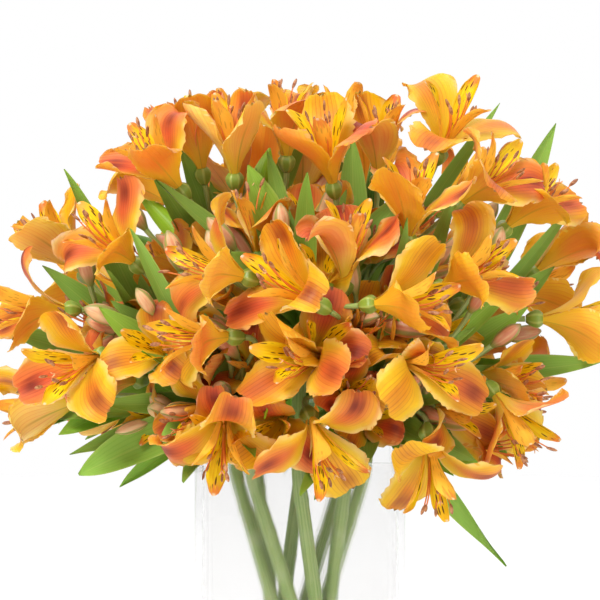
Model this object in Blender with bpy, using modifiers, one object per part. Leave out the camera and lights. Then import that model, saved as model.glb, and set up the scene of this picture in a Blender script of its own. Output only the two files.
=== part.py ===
"""A bunch of orange alstroemeria standing in a square clear glass vase.

Eight cut stems cross in the vase and fan out over its rim. Each stem ends in an umbel: a whorl of
leaves, a fan of flower stalks, open flowers and buds. Metres, +Z up. The origin is the middle of the
vase's foot, on the table. The front of the bunch is -Y, and +X is its right-hand side.

Directions on the bunch are given as (azimuth, elevation) in degrees, seen from the middle of the dome
of flowers: azimuth 0 is the front, 90 the right-hand side and 180 the back.
"""

import math

import bmesh
import bpy
from mathutils import Matrix, Vector
from mathutils.bvhtree import BVHTree

MM = 0.001

# Vase and water
VASE_WIDTH = 120 * MM
VASE_HEIGHT = 218 * MM
VASE_WALL = 4 * MM
VASE_FLOOR = 10 * MM
VASE_CORNER = 7 * MM
RIM_ROUND = 1.2 * MM
WATER_LEVEL = 108 * MM
CLEARANCE = 0.3 * MM

# Middle of the dome that the flowers fan out from
DOME_CENTRE = Vector((0, 0, 250 * MM))

# Stems: each stands on the foot circle, crosses the vase and leaves it on the rim circle
STEM_RADIUS_FOOT = 4.2 * MM
STEM_RADIUS_TOP = 3.3 * MM
FOOT_CIRCLE = 32 * MM
FOOT_LIFT = 2 * MM
RIM_CIRCLE = 37 * MM
SPIRAL_TURN = 128
UMBEL_RADIUS = 6 * MM
STALK_RADIUS = 1.4 * MM
STALK_RING = 4 * MM
LEAF_RING = 2 * MM
LEAF_DROP = 7 * MM

# Flowers: three broad outer petals and three narrow inner ones on a green ovary. A petal is a lens in
# section, with a width and a thickness at each station along it, and it comes to a point at both ends
OVARY_LENGTH = 10 * MM
OVARY_RADII = (2.3 * MM, 4.2 * MM)
OUTER = {
    "azimuths": (90, 210, 330),
    "stations": (0, 0.36, 0.66, 0.88, 1),
    "widths": (9 * MM, 30 * MM, 24 * MM),
    "thickness": (1.9 * MM, 1.2 * MM, 1.0 * MM),
    "length": 56 * MM,
    "root_angle": 8,
    "flare": 92,
    "channel": 0.26,
}
INNER = {
    "azimuths": (30, 150, 270),
    "stations": (0, 0.4, 0.78, 1),
    "widths": (6 * MM, 15 * MM),
    "thickness": (1.9 * MM, 1.1 * MM),
    "length": 53 * MM,
    "root_angle": 5,
    "flare": 46,
    "channel": 0.36,
}
PETAL_ROOT = 0.9 * MM
PETAL_SINK = 7 * MM

# How a petal is bent clear, tried in turn: degrees of flare, degrees round the flower, share of length
PETAL_BENDS = (
    (0, 0, 1), (-9, 0, 1), (9, 0, 1), (-9, 9, 1), (-9, -9, 1), (-18, 0, 1), (18, 0, 1),
    (-18, 10, 1), (-18, -10, 1), (-27, 0, 1), (27, 0, 1), (-36, 0, 1), (-27, 12, 0.85),
    (-27, -12, 0.85), (-40, 0, 0.85), (-50, 0, 0.8), (-40, 14, 0.75), (-40, -14, 0.75), (-60, 0, 0.7),
    (-60, 16, 0.6), (-60, -16, 0.6), (-70, 0, 0.5),
)

# Leaves and buds
LEAF_STATIONS = (0, 0.34, 0.7, 1)
LEAF_WIDTHS = (0.18, 1.0, 0.8)
LEAF_THICKNESS = 1.1 * MM
BUD_LENGTH = 27 * MM
BUD_RADIUS = 5.4 * MM
BUD_PROFILE = ((0, 0.3), (0.3, 0.95), (0.68, 1), (1, 0.2))

# How a leaf is bent clear, tried in turn: shift of its tip across and up, as shares of its length
LEAF_BENDS = (
    (0, 0, 1), (0.08, 0, 1), (-0.08, 0, 1), (0, 0.08, 1), (0, -0.08, 1), (0.14, 0.08, 1),
    (-0.14, 0.08, 1), (0.14, -0.08, 1), (-0.14, -0.08, 1), (0.22, 0, 1), (-0.22, 0, 1), (0, 0.2, 1),
    (0, -0.2, 1), (0.3, 0.14, 0.95), (-0.3, 0.14, 0.95), (0.3, -0.14, 0.95), (-0.3, -0.14, 0.95),
    (0, 0, 0.7), (0.1, 0.1, 0.7), (-0.1, 0.1, 0.7), (0.1, -0.1, 0.7), (-0.1, -0.1, 0.7), (0, 0, 0.5),
)

# Each stem, with its places in mm from the middle of the vase's foot
#   umbel:   where the umbel points and how far from the dome's middle it is
#   flowers: place of the ovary's foot, (azimuth, elevation) that it faces, outer and inner openness
#   buds:    place of the bud's foot, (azimuth, elevation) that it points, size
#   leaves:  place of the tip, width in mm, twist in degrees
STEMS = {
    "front": {
        "umbel": (2, 48, 68),
        "flowers": (
            ((16, -108, 304), (-55, 28), 0.85, 0.8),
            ((24, -84, 312), (12, 66), 0.6, 0.5),
            ((32, -104, 307), (62, 6), 0.85, 0.7),
            ((-22, -106, 320), (-68, 16), 1.1, 0.9),
            ((20, -66, 367), (-22, 62), 0.7, 0.8),
            ((-37, -45, 373), (-10, 74), 0.6, 0.6),
        ),
        "buds": (
            ((-10, -82, 341), (-10, 75), 0.85),
            ((-36, -78, 338), (-60, 45), 0.9),
            ((-42, -82, 328), (-55, 62), 0.85),
        ),
        "leaves": (
            ((-29, -74, 385), 22, 15),
            ((4, -100, 379), 13, -20),
            ((-72, -84, 377), 14, 40),
            ((-19, -118, 247), 14, 60),
            ((-16, -120, 326), 20, -10),
            ((-19, -46, 396), 12, 20),
            ((36, -98, 258), 18, 0),
            ((-8, -106, 264), 18, 20),
            ((62, -78, 372), 16, 10),
        ),
    },
    "front_right": {
        "umbel": (34, 2, 68),
        "flowers": (
            ((3, -98, 252), (25, -42), 1.15, 0.75),
            ((52, -92, 276), (36, 0), 1.05, 0.85),
            ((70, -80, 242), (5, -58), 1.0, 0.6),
            ((105, -60, 264), (52, -48), 0.9, 0.7),
            ((72, -84, 314), (52, 24), 0.8, 0.5),
            ((59, -90, 337), (5, 62), 0.9, 0.7),
        ),
        "buds": (
            ((106, -58, 331), (40, 60), 0.85),
            ((95, -68, 303), (50, 55), 0.75),
            ((108, -60, 284), (60, 35), 0.8),
        ),
        "leaves": (
            ((57, -112, 354), 10, 30),
            ((82, -88, 364), 10, 0),
            ((130, -58, 306), 16, 10),
            ((123, -66, 324), 13, 30),
            ((107, -50, 212), 11, 20),
            ((118, -48, 158), 13, 100),
            ((8, -84, 200), 11, 20),
            ((126, -70, 284), 20, 0),
            ((96, -84, 222), 16, 20),
        ),
    },
    "right": {
        "umbel": (96, 10, 68),
        "flowers": (
            ((132, -25, 299), (84, 0), 0.85, 0.75),
            ((136, 6, 322), (84, 42), 0.6, 0.6),
            ((114, -34, 347), (66, 42), 0.8, 0.7),
            ((112, 34, 266), (112, -20), 0.9, 0.8),
            ((120, 30, 312), (106, 12), 0.9, 0.8),
            ((78, 74, 262), (140, -22), 0.9, 0.8),
        ),
        "buds": (
            ((122, 6, 288), (96, 8), 0.9),
            ((104, 40, 300), (120, 30), 0.85),
        ),
        "leaves": (
            ((156, 2, 398), 18, 10),
            ((164, -18, 370), 9, 30),
            ((176, -25, 274), 17, 0),
            ((150, -20, 330), 18, 0),
            ((138, -30, 236), 18, 10),
            ((150, 40, 232), 17, 10),
            ((128, 66, 300), 15, 20),
        ),
    },
    "back_right": {
        "umbel": (110, 58, 66),
        "flowers": (
            ((78, -42, 388), (25, 50), 1.1, 0.9),
            ((45, -35, 373), (12, 72), 0.6, 0.6),
            ((84, -66, 359), (62, 38), 0.9, 0.9),
            ((84, 36, 362), (112, 46), 0.85, 0.8),
            ((38, 64, 368), (150, 48), 0.9, 0.8),
            ((22, 22, 388), (130, 76), 0.8, 0.7),
        ),
        "buds": (
            ((104, 4, 350), (84, 52), 0.9),
            ((62, 56, 356), (132, 46), 0.85),
        ),
        "leaves": (
            ((124, 4, 412), 9, 20),
            ((52, 22, 428), 14, 20),
            ((98, 72, 386), 15, -20),
            ((12, 82, 408), 14, 20),
            ((8, 36, 400), 22, -10),
        ),
    },
    "back": {
        "umbel": (178, 12, 68),
        "flowers": (
            ((22, 96, 262), (168, -22), 0.95, 0.8),
            ((-36, 94, 266), (-160, -24), 0.95, 0.8),
            ((86, 66, 320), (128, 14), 0.9, 0.8),
            ((12, 96, 322), (172, 14), 0.95, 0.8),
            ((-66, 80, 316), (-146, 12), 0.9, 0.8),
        ),
        "buds": (
            ((8, 96, 296), (174, 8), 0.9),
            ((-40, 90, 296), (-160, 10), 0.85),
        ),
        "leaves": (
            ((52, 146, 238), 17, 10),
            ((-10, 154, 216), 17, -10),
            ((-66, 136, 240), 16, 10),
            ((52, 34, 334), 26, 0),
            ((40, 34, 214), 22, 0),
        ),
    },
    "back_left": {
        "umbel": (-112, 58, 66),
        "flowers": (
            ((-56, -20, 378), (-30, 72), 0.6, 0.6),
            ((-8, -8, 386), (-4, 80), 0.6, 0.5),
            ((-63, -55, 367), (-58, 48), 0.8, 0.8),
            ((-22, 64, 368), (-162, 48), 0.9, 0.8),
            ((-74, 40, 364), (-118, 46), 0.9, 0.8),
            ((-36, 22, 388), (-130, 72), 0.8, 0.7),
        ),
        "buds": (
            ((-92, -4, 352), (-84, 52), 0.9),
            ((-50, 58, 356), (-142, 46), 0.85),
        ),
        "leaves": (
            ((-64, -32, 409), 16, 15),
            ((-88, -30, 388), 16, 0),
            ((6, -6, 430), 14, 10),
            ((-104, 56, 390), 15, 20),
            ((-50, 84, 406), 14, -20),
            ((-24, 34, 396), 22, 10),
        ),
    },
    "left": {
        "umbel": (-96, 12, 68),
        "flowers": (
            ((-128, -27, 304), (-72, 4), 0.95, 0.8),
            ((-124, -8, 320), (-76, 52), 0.6, 0.6),
            ((-88, -60, 326), (-52, 38), 0.95, 0.8),
            ((-114, 34, 268), (-108, -18), 0.9, 0.8),
            ((-106, 50, 316), (-118, 14), 0.9, 0.8),
            ((-84, 72, 264), (-140, -20), 0.9, 0.8),
        ),
        "buds": (
            ((-121, -38, 318), (-50, 75), 0.95),
            ((-98, -62, 297), (-70, 20), 0.95),
            ((-110, 44, 292), (-112, 4), 0.85),
        ),
        "leaves": (
            ((-133, -60, 372), 13, 30),
            ((-178, -15, 292), 18, 10),
            ((-166, 4, 262), 16, 0),
            ((-112, -56, 350), 18, 0),
            ((-150, -30, 330), 16, 0),
            ((-140, -34, 232), 18, 0),
            ((-140, 60, 236), 16, 10),
            ((-107, -74, 318), 8, 20),
            ((-138, 62, 352), 14, 10),
        ),
    },
    "front_left": {
        "umbel": (-36, 2, 68),
        "flowers": (
            ((-40, -92, 258), (-5, -50), 1.15, 0.7),
            ((-30, -102, 290), (-68, 4), 1.0, 0.85),
            ((-108, -62, 280), (-34, -10), 0.9, 0.8),
            ((-120, -30, 253), (-80, -10), 0.5, 0.4),
            ((16, -94, 278), (-34, 4), 0.8, 0.5),
        ),
        "buds": (
            ((-66, -80, 326), (-40, 65), 0.9),
            ((-80, -84, 302), (-50, 50), 0.7),
            ((-100, -52, 292), (-74, 18), 0.85),
        ),
        "leaves": (
            ((-89, -96, 349), 11, 20),
            ((-165, -36, 249), 9, 30),
            ((-131, -52, 222), 13, 20),
            ((-124, -66, 212), 24, 0),
            ((-103, -48, 203), 11, 10),
            ((-84, -88, 282), 11, 60),
            ((-22, -82, 216), 18, 20),
            ((-112, -74, 306), 18, 0),
            ((-66, -96, 318), 16, 20),
            ((-76, -84, 236), 18, 0),
        ),
    },
}


def direction(azimuth, elevation):
    """The unit vector of a direction given in degrees."""
    a, e = math.radians(azimuth), math.radians(elevation)
    return Vector((math.cos(e) * math.sin(a), -math.cos(e) * math.cos(a), math.sin(e)))


def vary(i, j):
    """A fixed irregular number from 0 to 1 for a pair of whole numbers."""
    return (math.sin(i * 12.9898 + j * 78.233) * 43758.5453) % 1


def new_material(name, colour, roughness, metallic=0.0, transmission=0.0):
    material = bpy.data.materials.new(name)
    material.use_nodes = True
    shader = material.node_tree.nodes["Principled BSDF"]
    shader.inputs["Base Color"].default_value = (*colour, 1)
    shader.inputs["Roughness"].default_value = roughness
    shader.inputs["Metallic"].default_value = metallic
    shader.inputs["Transmission Weight"].default_value = transmission
    return material


def add_object(name, mesh, collection):
    obj = bpy.data.objects.new(name, mesh)
    collection.objects.link(obj)
    return obj


def mesh_from(name, points, faces):
    mesh = bpy.data.meshes.new(name)
    mesh.from_pydata([tuple(p) for p in points], [], faces)
    mesh.update()
    return mesh


def bezier(points, t):
    """A point on the cubic Bezier curve through four control points."""
    a, b, c, d = points
    s = 1 - t
    return a * s**3 + b * (3 * s * s * t) + c * (3 * s * t * t) + d * t**3


def tube_mesh(name, points, radii, rings):
    """A closed tube along the points, made from a bevelled curve; rings sets how many sides it has."""
    curve = bpy.data.curves.new(name, "CURVE")
    curve.dimensions = "3D"
    curve.bevel_depth = 1.0
    curve.bevel_resolution = rings
    curve.use_fill_caps = True
    spline = curve.splines.new("POLY")
    spline.points.add(len(points) - 1)
    for point, place, radius in zip(spline.points, points, radii):
        point.co = (*place, 1)
        point.radius = radius
    holder = bpy.data.objects.new(name, curve)
    bpy.context.scene.collection.objects.link(holder)
    evaluated = holder.evaluated_get(bpy.context.evaluated_depsgraph_get())
    mesh = bpy.data.meshes.new_from_object(evaluated)
    bpy.data.objects.remove(holder)
    shape = bmesh.new()
    shape.from_mesh(mesh)
    bmesh.ops.remove_doubles(shape, verts=shape.verts, dist=0.00001)
    shape.to_mesh(mesh)
    shape.free()
    return mesh


def lens_blade(name, sections):
    """A closed blade with a lens-shaped section, from rows of (left edge, lower middle, right edge,
    upper middle). The last row is the tip, a single point, and so may the first be. Each side is split
    into triangles from its edges, alike above and below, so that the two faces never cross."""
    points, faces = [], []
    for section in sections:
        points.extend([section] if isinstance(section, Vector) else section)
    pointed = isinstance(sections[0], Vector)
    first = 1 if pointed else 0
    tip = len(points) - 1
    for k in range(4):
        after = (k + 1) % 4
        for row in range(first, tip - 4, 4):
            near, next_to, beyond, over = row + k, row + after, row + after + 4, row + k + 4
            if k % 2:
                faces.extend([(near, next_to, over), (next_to, beyond, over)])
            else:
                faces.extend([(near, next_to, beyond), (near, beyond, over)])
        faces.append((tip - 4 + k, tip - 4 + after, tip))
        if pointed:
            faces.append((0, 1 + after, 1 + k))
    if not pointed:
        faces.append((3, 2, 1, 0))
    return mesh_from(name, points, faces)


# Petals

def petal_line(kind, length, flare, t):
    """Distance from the flower's axis, height above the ovary's foot, and angle from the axis."""
    steps = 24
    out, up = PETAL_ROOT, OVARY_LENGTH - PETAL_SINK
    for k in range(steps):
        angle = math.radians(kind["root_angle"] + (flare - kind["root_angle"]) * (k + 0.5) / steps * t)
        out += math.sin(angle) * t * length / steps
        up += math.cos(angle) * t * length / steps
    return out, up, math.radians(kind["root_angle"] + (flare - kind["root_angle"]) * t)


def petal_sections(kind, azimuth, length, scale, flare, grow=0.0):
    """The sections of one petal in the flower's own frame, +Z out of its mouth."""
    a = math.radians(azimuth)
    outwards, side = Vector((math.cos(a), math.sin(a), 0)), Vector((-math.sin(a), math.cos(a), 0))
    rows = []
    for k, t in enumerate(kind["stations"]):
        out, up, angle = petal_line(kind, length + grow, flare, t)
        middle = outwards * out + Vector((0, 0, up))
        if t in (0, 1):
            rows.append(middle)
            continue
        inner_face = Vector((0, 0, math.sin(angle))) - outwards * math.cos(angle)
        half = kind["widths"][k - 1] * scale / 2 + grow
        lift = inner_face * (half * kind["channel"] * (1 - t * 0.7))
        thick = inner_face * (kind["thickness"][k - 1] / 2 + grow)
        rows.append((middle - side * half + lift, middle - thick, middle + side * half + lift,
                     middle + thick))
    return rows


def ovary_mesh():
    """A six-sided cup that the petals grow from."""
    shape = bmesh.new()
    bmesh.ops.create_cone(
        shape, cap_ends=True, segments=6, radius1=OVARY_RADII[0], radius2=OVARY_RADII[1],
        depth=OVARY_LENGTH, matrix=Matrix.Translation((0, 0, OVARY_LENGTH / 2)))
    mesh = bpy.data.meshes.new("ovary")
    shape.to_mesh(mesh)
    shape.free()
    return mesh


def flower_frame(place, axis):
    """Turns the flower's own frame so that +Z faces out and +Y, its upper petal, is up."""
    outward = Vector((place.x, place.y, 0)).normalized()
    upper = Vector((0, 0, 1)) - outward * 0.35
    upper = (upper - axis * upper.dot(axis)).normalized()
    across = upper.cross(axis)
    turn = Matrix((across, upper, axis)).transposed()
    return Matrix.Translation(place) @ turn.to_4x4()


# Clearance

def bvh_of(mesh, matrix=Matrix.Identity(4)):
    points = [matrix @ v.co for v in mesh.vertices]
    return BVHTree.FromPolygons(points, [tuple(p.vertices) for p in mesh.polygons])


def is_clear(tree, placed):
    return not any(tree.overlap(other) for other in placed)


# Joining

SOLVER = "MANIFOLD"

def join(name, pieces, material, collection):
    """One closed body from overlapping meshes, by a Boolean union with the first of them."""
    base = add_object(name, pieces[0], collection)
    group = bpy.data.collections.new(name + "_pieces")
    bpy.context.scene.collection.children.link(group)
    for k, mesh in enumerate(pieces[1:]):
        add_object(f"{name}_piece_{k}", mesh, group)
    union = base.modifiers.new("union", "BOOLEAN")
    union.operation = "UNION"
    union.operand_type = "COLLECTION"
    union.collection = group
    union.solver = SOLVER
    evaluated = base.evaluated_get(bpy.context.evaluated_depsgraph_get())
    joined = bpy.data.meshes.new_from_object(evaluated)
    base.modifiers.clear()
    base.data = joined
    for piece in list(group.objects):
        bpy.data.objects.remove(piece)
    bpy.data.collections.remove(group)
    joined.materials.clear()
    joined.materials.append(material)
    return base


# Stems

def stem_points(rim_azimuth, umbel):
    """A straight run from the vase's floor to its rim, then a bend out to the umbel."""
    azimuth, elevation, reach = umbel
    out = direction(azimuth, elevation)
    foot = direction(rim_azimuth + SPIRAL_TURN, 0) * FOOT_CIRCLE
    foot.z = VASE_FLOOR + FOOT_LIFT
    rim = direction(rim_azimuth, 0) * RIM_CIRCLE
    rim.z = VASE_HEIGHT * 0.92
    top = DOME_CENTRE + out * reach * MM
    onward = (rim - foot).normalized()
    curve = (rim, rim + onward * 24 * MM, top - out * 32 * MM, top)
    return [foot] + [bezier(curve, t) for t in (0, 0.3, 0.62, 1)]


def umbel_roots(centre, out, ends, ring):
    """Roots evenly spaced on a ring round the umbel, in the order in which what grows there spreads."""
    across = out.orthogonal().normalized()
    along = out.cross(across)
    angles = [math.atan2((end - centre).dot(along), (end - centre).dot(across)) for end in ends]
    ranks = {k: rank for rank, k in enumerate(sorted(range(len(ends)), key=angles.__getitem__))}
    step = 2 * math.pi / len(ends)
    shift = math.atan2(sum(math.sin(angles[k] - ranks[k] * step) for k in ranks),
                       sum(math.cos(angles[k] - ranks[k] * step) for k in ranks))
    return [centre + (across * math.cos(ranks[k] * step + shift)
                      + along * math.sin(ranks[k] * step + shift)) * ring for k in range(len(ends))]


def stalk_points(root, out, end, heading):
    """A flower stalk from the umbel to the ovary's foot, arching over where the flower nods."""
    reach = (end - root).length
    first = (out * 0.7 + (end - root).normalized()).normalized()
    control = (root, root + first * reach * 0.4, end - heading * reach * 0.35, end)
    return [root, bezier(control, 0.42), end - heading * STALK_RADIUS * 4, end]


def leaf_blade(root, tip, lead, width, twist, grow=0.0):
    """A lance-shaped leaf that leaves the umbel along lead and ends at tip. It turns its face to the
    front of the bunch, or to the back if it is there."""
    reach = (tip - root).length
    control = (root, root + lead * reach * 0.45, tip - (tip - root - lead * reach * 0.3) * 0.3, tip)
    outlook = Vector((0, -1 if tip.y < 0.02 else 1, 0.5))
    rows = []
    for k, t in enumerate(LEAF_STATIONS):
        middle = bezier(control, t)
        if t == 1.0:
            rows.append(middle)
            continue
        along = (bezier(control, t + 0.02) - bezier(control, t)).normalized()
        side = Matrix.Rotation(math.radians(twist * t), 3, along) @ outlook.cross(along).normalized()
        upper = along.cross(side).normalized()
        half = width / 2 * LEAF_WIDTHS[k] + grow
        thick = upper * (LEAF_THICKNESS / 2 + grow)
        lift = upper * half * 0.22
        rows.append((middle - side * half + lift, middle - thick, middle + side * half + lift,
                     middle + thick))
    return lens_blade("leaf", rows)


def build_stems():
    """The stalks of every stem first, so that flowers and leaves can be set clear of all of them."""
    stalks = {}
    for name, stem in STEMS.items():
        line = stem_points(RIM_AZIMUTHS[name], stem["umbel"])
        taper = [STEM_RADIUS_FOOT + (STEM_RADIUS_TOP - STEM_RADIUS_FOOT) * k / (len(line) - 1)
                 for k in range(len(line))]
        out = direction(*stem["umbel"][:2])
        top = line[-1]
        swelling = [top + out * UMBEL_RADIUS, top + out * UMBEL_RADIUS * 1.8]
        pieces = [tube_mesh("stem", line + swelling, taper + [UMBEL_RADIUS, UMBEL_RADIUS * 0.6], 1)]
        root = top + out * UMBEL_RADIUS * 0.6
        feet = [(Vector(spot) * MM, direction(*facing), 0) for spot, facing, _, _ in stem["flowers"]]
        feet += [(Vector(spot) * MM, direction(*facing), size) for spot, facing, size in stem["buds"]]
        roots = umbel_roots(root, out, [foot for foot, _, _ in feet], STALK_RING)
        for (foot, heading, bud_size), start in zip(feet, roots):
            if bud_size:
                way = stalk_points(start, out, foot, heading)
                way = way[:2] + [foot + heading * BUD_LENGTH * bud_size * share for share, _ in BUD_PROFILE]
                radii = [STALK_RADIUS] * 2 + [BUD_RADIUS * bud_size * swell for _, swell in BUD_PROFILE]
                pieces.append(tube_mesh("bud", way, radii, 1))
            else:
                way = stalk_points(start, out, foot - heading * CLEARANCE, heading)
                pieces.append(tube_mesh("stalk", way, [STALK_RADIUS] * 4, 0))
        stalks[name] = (pieces, top, line)
    return stalks


def clear_petal(kind, azimuth, scale, flare, frame, placed):
    """The first bend of the petal that keeps it clear of everything placed so far."""
    for change, turn, share in PETAL_BENDS:
        bent = (azimuth + turn, kind["length"] * scale * share, scale * (0.4 + 0.6 * share),
                max(5, flare + change))
        test = lens_blade("test", petal_sections(kind, *bent, 0.4 * MM))
        if is_clear(bvh_of(test, frame), placed):
            return bent
    print("petal still crossing", frame.translation, azimuth)
    return bent


def build_flowers(collection, material, placed):
    number = 0
    for stem in STEMS.values():
        for spot, facing, outer_open, inner_open in stem["flowers"]:
            number += 1
            frame = flower_frame(Vector(spot) * MM, direction(*facing))
            scale = 0.95 + 0.1 * vary(number, 1)
            pieces = [ovary_mesh()]
            trees = [bvh_of(pieces[0], frame)]
            for kind, openness in ((INNER, inner_open), (OUTER, outer_open)):
                for k, azimuth in enumerate(kind["azimuths"]):
                    flare = kind["flare"] * openness * (0.88 + 0.24 * vary(number, 20 + k))
                    turned = azimuth + 8 * (vary(number, 10 + k) - 0.5)
                    bent = clear_petal(kind, turned, scale, flare, frame, placed)
                    pieces.append(lens_blade("petal", petal_sections(kind, *bent)))
                    trees.append(bvh_of(pieces[-1], frame))
            flower = join(f"flower_{number:02d}", pieces, material, collection)
            flower.data.transform(frame)
            placed.extend(trees)


def clear_leaf(spot, width, twist, base, out, obstacles):
    """The first bend of the leaf that keeps it clear of all the obstacles, else of the first list."""
    reach = Vector(spot) * MM - base
    across = reach.cross(Vector((0, 0, 1)))
    for placed in (sum(obstacles, []), obstacles[0]):
        for side, lift, share in LEAF_BENDS:
            tip = base + (reach + across * side + Vector((0, 0, reach.length * lift))) * share
            lead = (out * 0.4 + (tip - base).normalized()).normalized()
            test = leaf_blade(base + lead * 14 * MM, tip, lead, width, twist, 0.4 * MM)
            if is_clear(bvh_of(test), placed):
                return leaf_blade(base, tip, lead, width, twist)
    print("leaf still crossing", spot)
    return leaf_blade(base, tip, lead, width, twist)


def build_leaves(stalks, placed):
    for name, stem in STEMS.items():
        pieces, root, line = stalks[name]
        out = direction(*stem["umbel"][:2])
        others = [tree for owner, tree in placed if owner != name]
        own = [tree for owner, tree in placed if owner == name][1:]
        whorl = root + (line[-2] - root).normalized() * LEAF_DROP
        bases = umbel_roots(whorl, out, [Vector(leaf[0]) * MM for leaf in stem["leaves"]], LEAF_RING)
        for (spot, width, twist), base in zip(stem["leaves"], bases):
            pieces.append(clear_leaf(spot, width * MM, twist, base, out, (others, own)))
            own.append(bvh_of(pieces[-1]))
            placed.append((name, own[-1]))


def build_vase(collection, material):
    """A square glass with rounded corners, a thick floor and softened outer edges."""
    bpy.ops.mesh.primitive_cube_add(size=1, location=(0, 0, VASE_HEIGHT / 2))
    outside = bpy.context.object
    outside.name = "vase"
    outside.scale = (VASE_WIDTH, VASE_WIDTH, VASE_HEIGHT)
    inner = VASE_WIDTH - 2 * VASE_WALL
    bpy.ops.mesh.primitive_cube_add(size=1, location=(0, 0, VASE_FLOOR + VASE_HEIGHT / 2))
    inside = bpy.context.object
    inside.name = "vase_hollow"
    inside.scale = (inner, inner, VASE_HEIGHT)
    for obj, corner in ((outside, VASE_CORNER), (inside, VASE_CORNER - VASE_WALL / 2)):
        bpy.ops.object.select_all(action="DESELECT")
        obj.select_set(True)
        bpy.context.view_layer.objects.active = obj
        bpy.ops.object.transform_apply(location=False, rotation=False, scale=True)
        round_upright_edges(obj.data, corner)
    soften = outside.modifiers.new("soft_edges", "BEVEL")
    soften.width = RIM_ROUND
    soften.segments = 1
    soften.limit_method = "ANGLE"
    soften.angle_limit = math.radians(60)
    cut = outside.modifiers.new("hollow", "BOOLEAN")
    cut.operation = "DIFFERENCE"
    cut.object = inside
    inside.hide_render = True
    inside.display_type = "WIRE"
    outside.data.materials.append(material)
    for obj, home in ((outside, collection), (inside, bpy.data.collections["cutters"])):
        for old in list(obj.users_collection):
            old.objects.unlink(obj)
        home.objects.link(obj)


def round_upright_edges(mesh, radius):
    shape = bmesh.new()
    shape.from_mesh(mesh)
    upright = [e for e in shape.edges if abs((e.verts[0].co - e.verts[1].co).z) > 1e-6]
    bmesh.ops.bevel(shape, geom=upright, offset=radius, segments=3, profile=0.5, affect="EDGES")
    shape.to_mesh(mesh)
    shape.free()


def build_water(collection, material, stalks):
    """The water fills the vase to its level, with a plain hole round each stem."""
    width = VASE_WIDTH - 2 * VASE_WALL - 2 * CLEARANCE
    low = VASE_FLOOR + CLEARANCE
    bpy.ops.mesh.primitive_cube_add(size=1, location=(0, 0, (low + WATER_LEVEL) / 2))
    water = bpy.context.object
    water.name = "water"
    water.scale = (width, width, WATER_LEVEL - low)
    bpy.ops.object.transform_apply(location=False, rotation=False, scale=True)
    round_upright_edges(water.data, VASE_CORNER - VASE_WALL / 2)
    group = bpy.data.collections.new("stem_holes")
    bpy.data.collections["cutters"].children.link(group)
    for name, (pieces, root, line) in stalks.items():
        run = (line[1] - line[0]).normalized()
        way = [line[0] - run * 12 * MM, line[1]]
        radius = STEM_RADIUS_FOOT + 2 * CLEARANCE
        hole = add_object("hole_" + name, tube_mesh("hole", way, [radius] * 2, 1), group)
        hole.hide_render = True
        hole.display_type = "WIRE"
    cut = water.modifiers.new("stem_holes", "BOOLEAN")
    cut.operation = "DIFFERENCE"
    cut.operand_type = "COLLECTION"
    cut.collection = group
    water.data.materials.append(material)
    for old in list(water.users_collection):
        old.objects.unlink(water)
    collection.objects.link(water)


RIM_AZIMUTHS = {name: 45 * k for k, name in enumerate(STEMS)}


def main():
    for obj in list(bpy.data.objects):
        bpy.data.objects.remove(obj)
    collection = bpy.data.collections.new("alstroemeria_in_vase")
    cutters = bpy.data.collections.new("cutters")
    for made in (collection, cutters):
        bpy.context.scene.collection.children.link(made)
    glass = new_material("glass", (0.93, 0.95, 0.94), 0.03, transmission=1.0)
    water = new_material("water", (0.95, 0.98, 0.97), 0.02, transmission=1.0)
    petal = new_material("petal", (0.92, 0.42, 0.09), 0.5)
    green = new_material("green", (0.2, 0.36, 0.1), 0.5)

    stalks = build_stems()
    stalk_trees = [(name, bvh_of(piece)) for name, (pieces, _, _) in stalks.items() for piece in pieces]
    flower_trees = [tree for _, tree in stalk_trees]
    before = len(flower_trees)
    build_flowers(collection, petal, flower_trees)
    placed = stalk_trees + [(None, tree) for tree in flower_trees[before:]]
    build_leaves(stalks, placed)
    build_vase(collection, glass)
    build_water(collection, water, stalks)
    for name, (pieces, _, _) in stalks.items():
        join("stem_" + name, pieces, green, collection)


main()
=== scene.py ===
import math

import bpy
import numpy as np
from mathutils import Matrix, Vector


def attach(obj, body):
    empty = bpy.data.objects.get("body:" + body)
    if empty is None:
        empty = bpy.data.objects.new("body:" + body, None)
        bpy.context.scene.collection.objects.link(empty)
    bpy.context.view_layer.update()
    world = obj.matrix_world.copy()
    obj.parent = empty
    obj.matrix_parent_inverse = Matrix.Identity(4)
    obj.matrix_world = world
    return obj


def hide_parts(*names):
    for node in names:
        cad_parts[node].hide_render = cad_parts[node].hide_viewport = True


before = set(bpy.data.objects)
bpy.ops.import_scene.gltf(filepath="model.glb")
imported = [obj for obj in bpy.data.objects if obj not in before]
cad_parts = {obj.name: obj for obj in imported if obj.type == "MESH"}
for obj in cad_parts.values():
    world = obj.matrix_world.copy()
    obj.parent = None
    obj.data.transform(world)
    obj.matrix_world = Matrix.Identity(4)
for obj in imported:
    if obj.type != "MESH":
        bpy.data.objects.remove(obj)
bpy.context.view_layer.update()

# A bunch of orange alstroemeria in a square clear glass vase. Metres, +Z up, front at -Y.

mm = 0.001
print("frame loaded:", len(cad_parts), "nodes")

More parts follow.
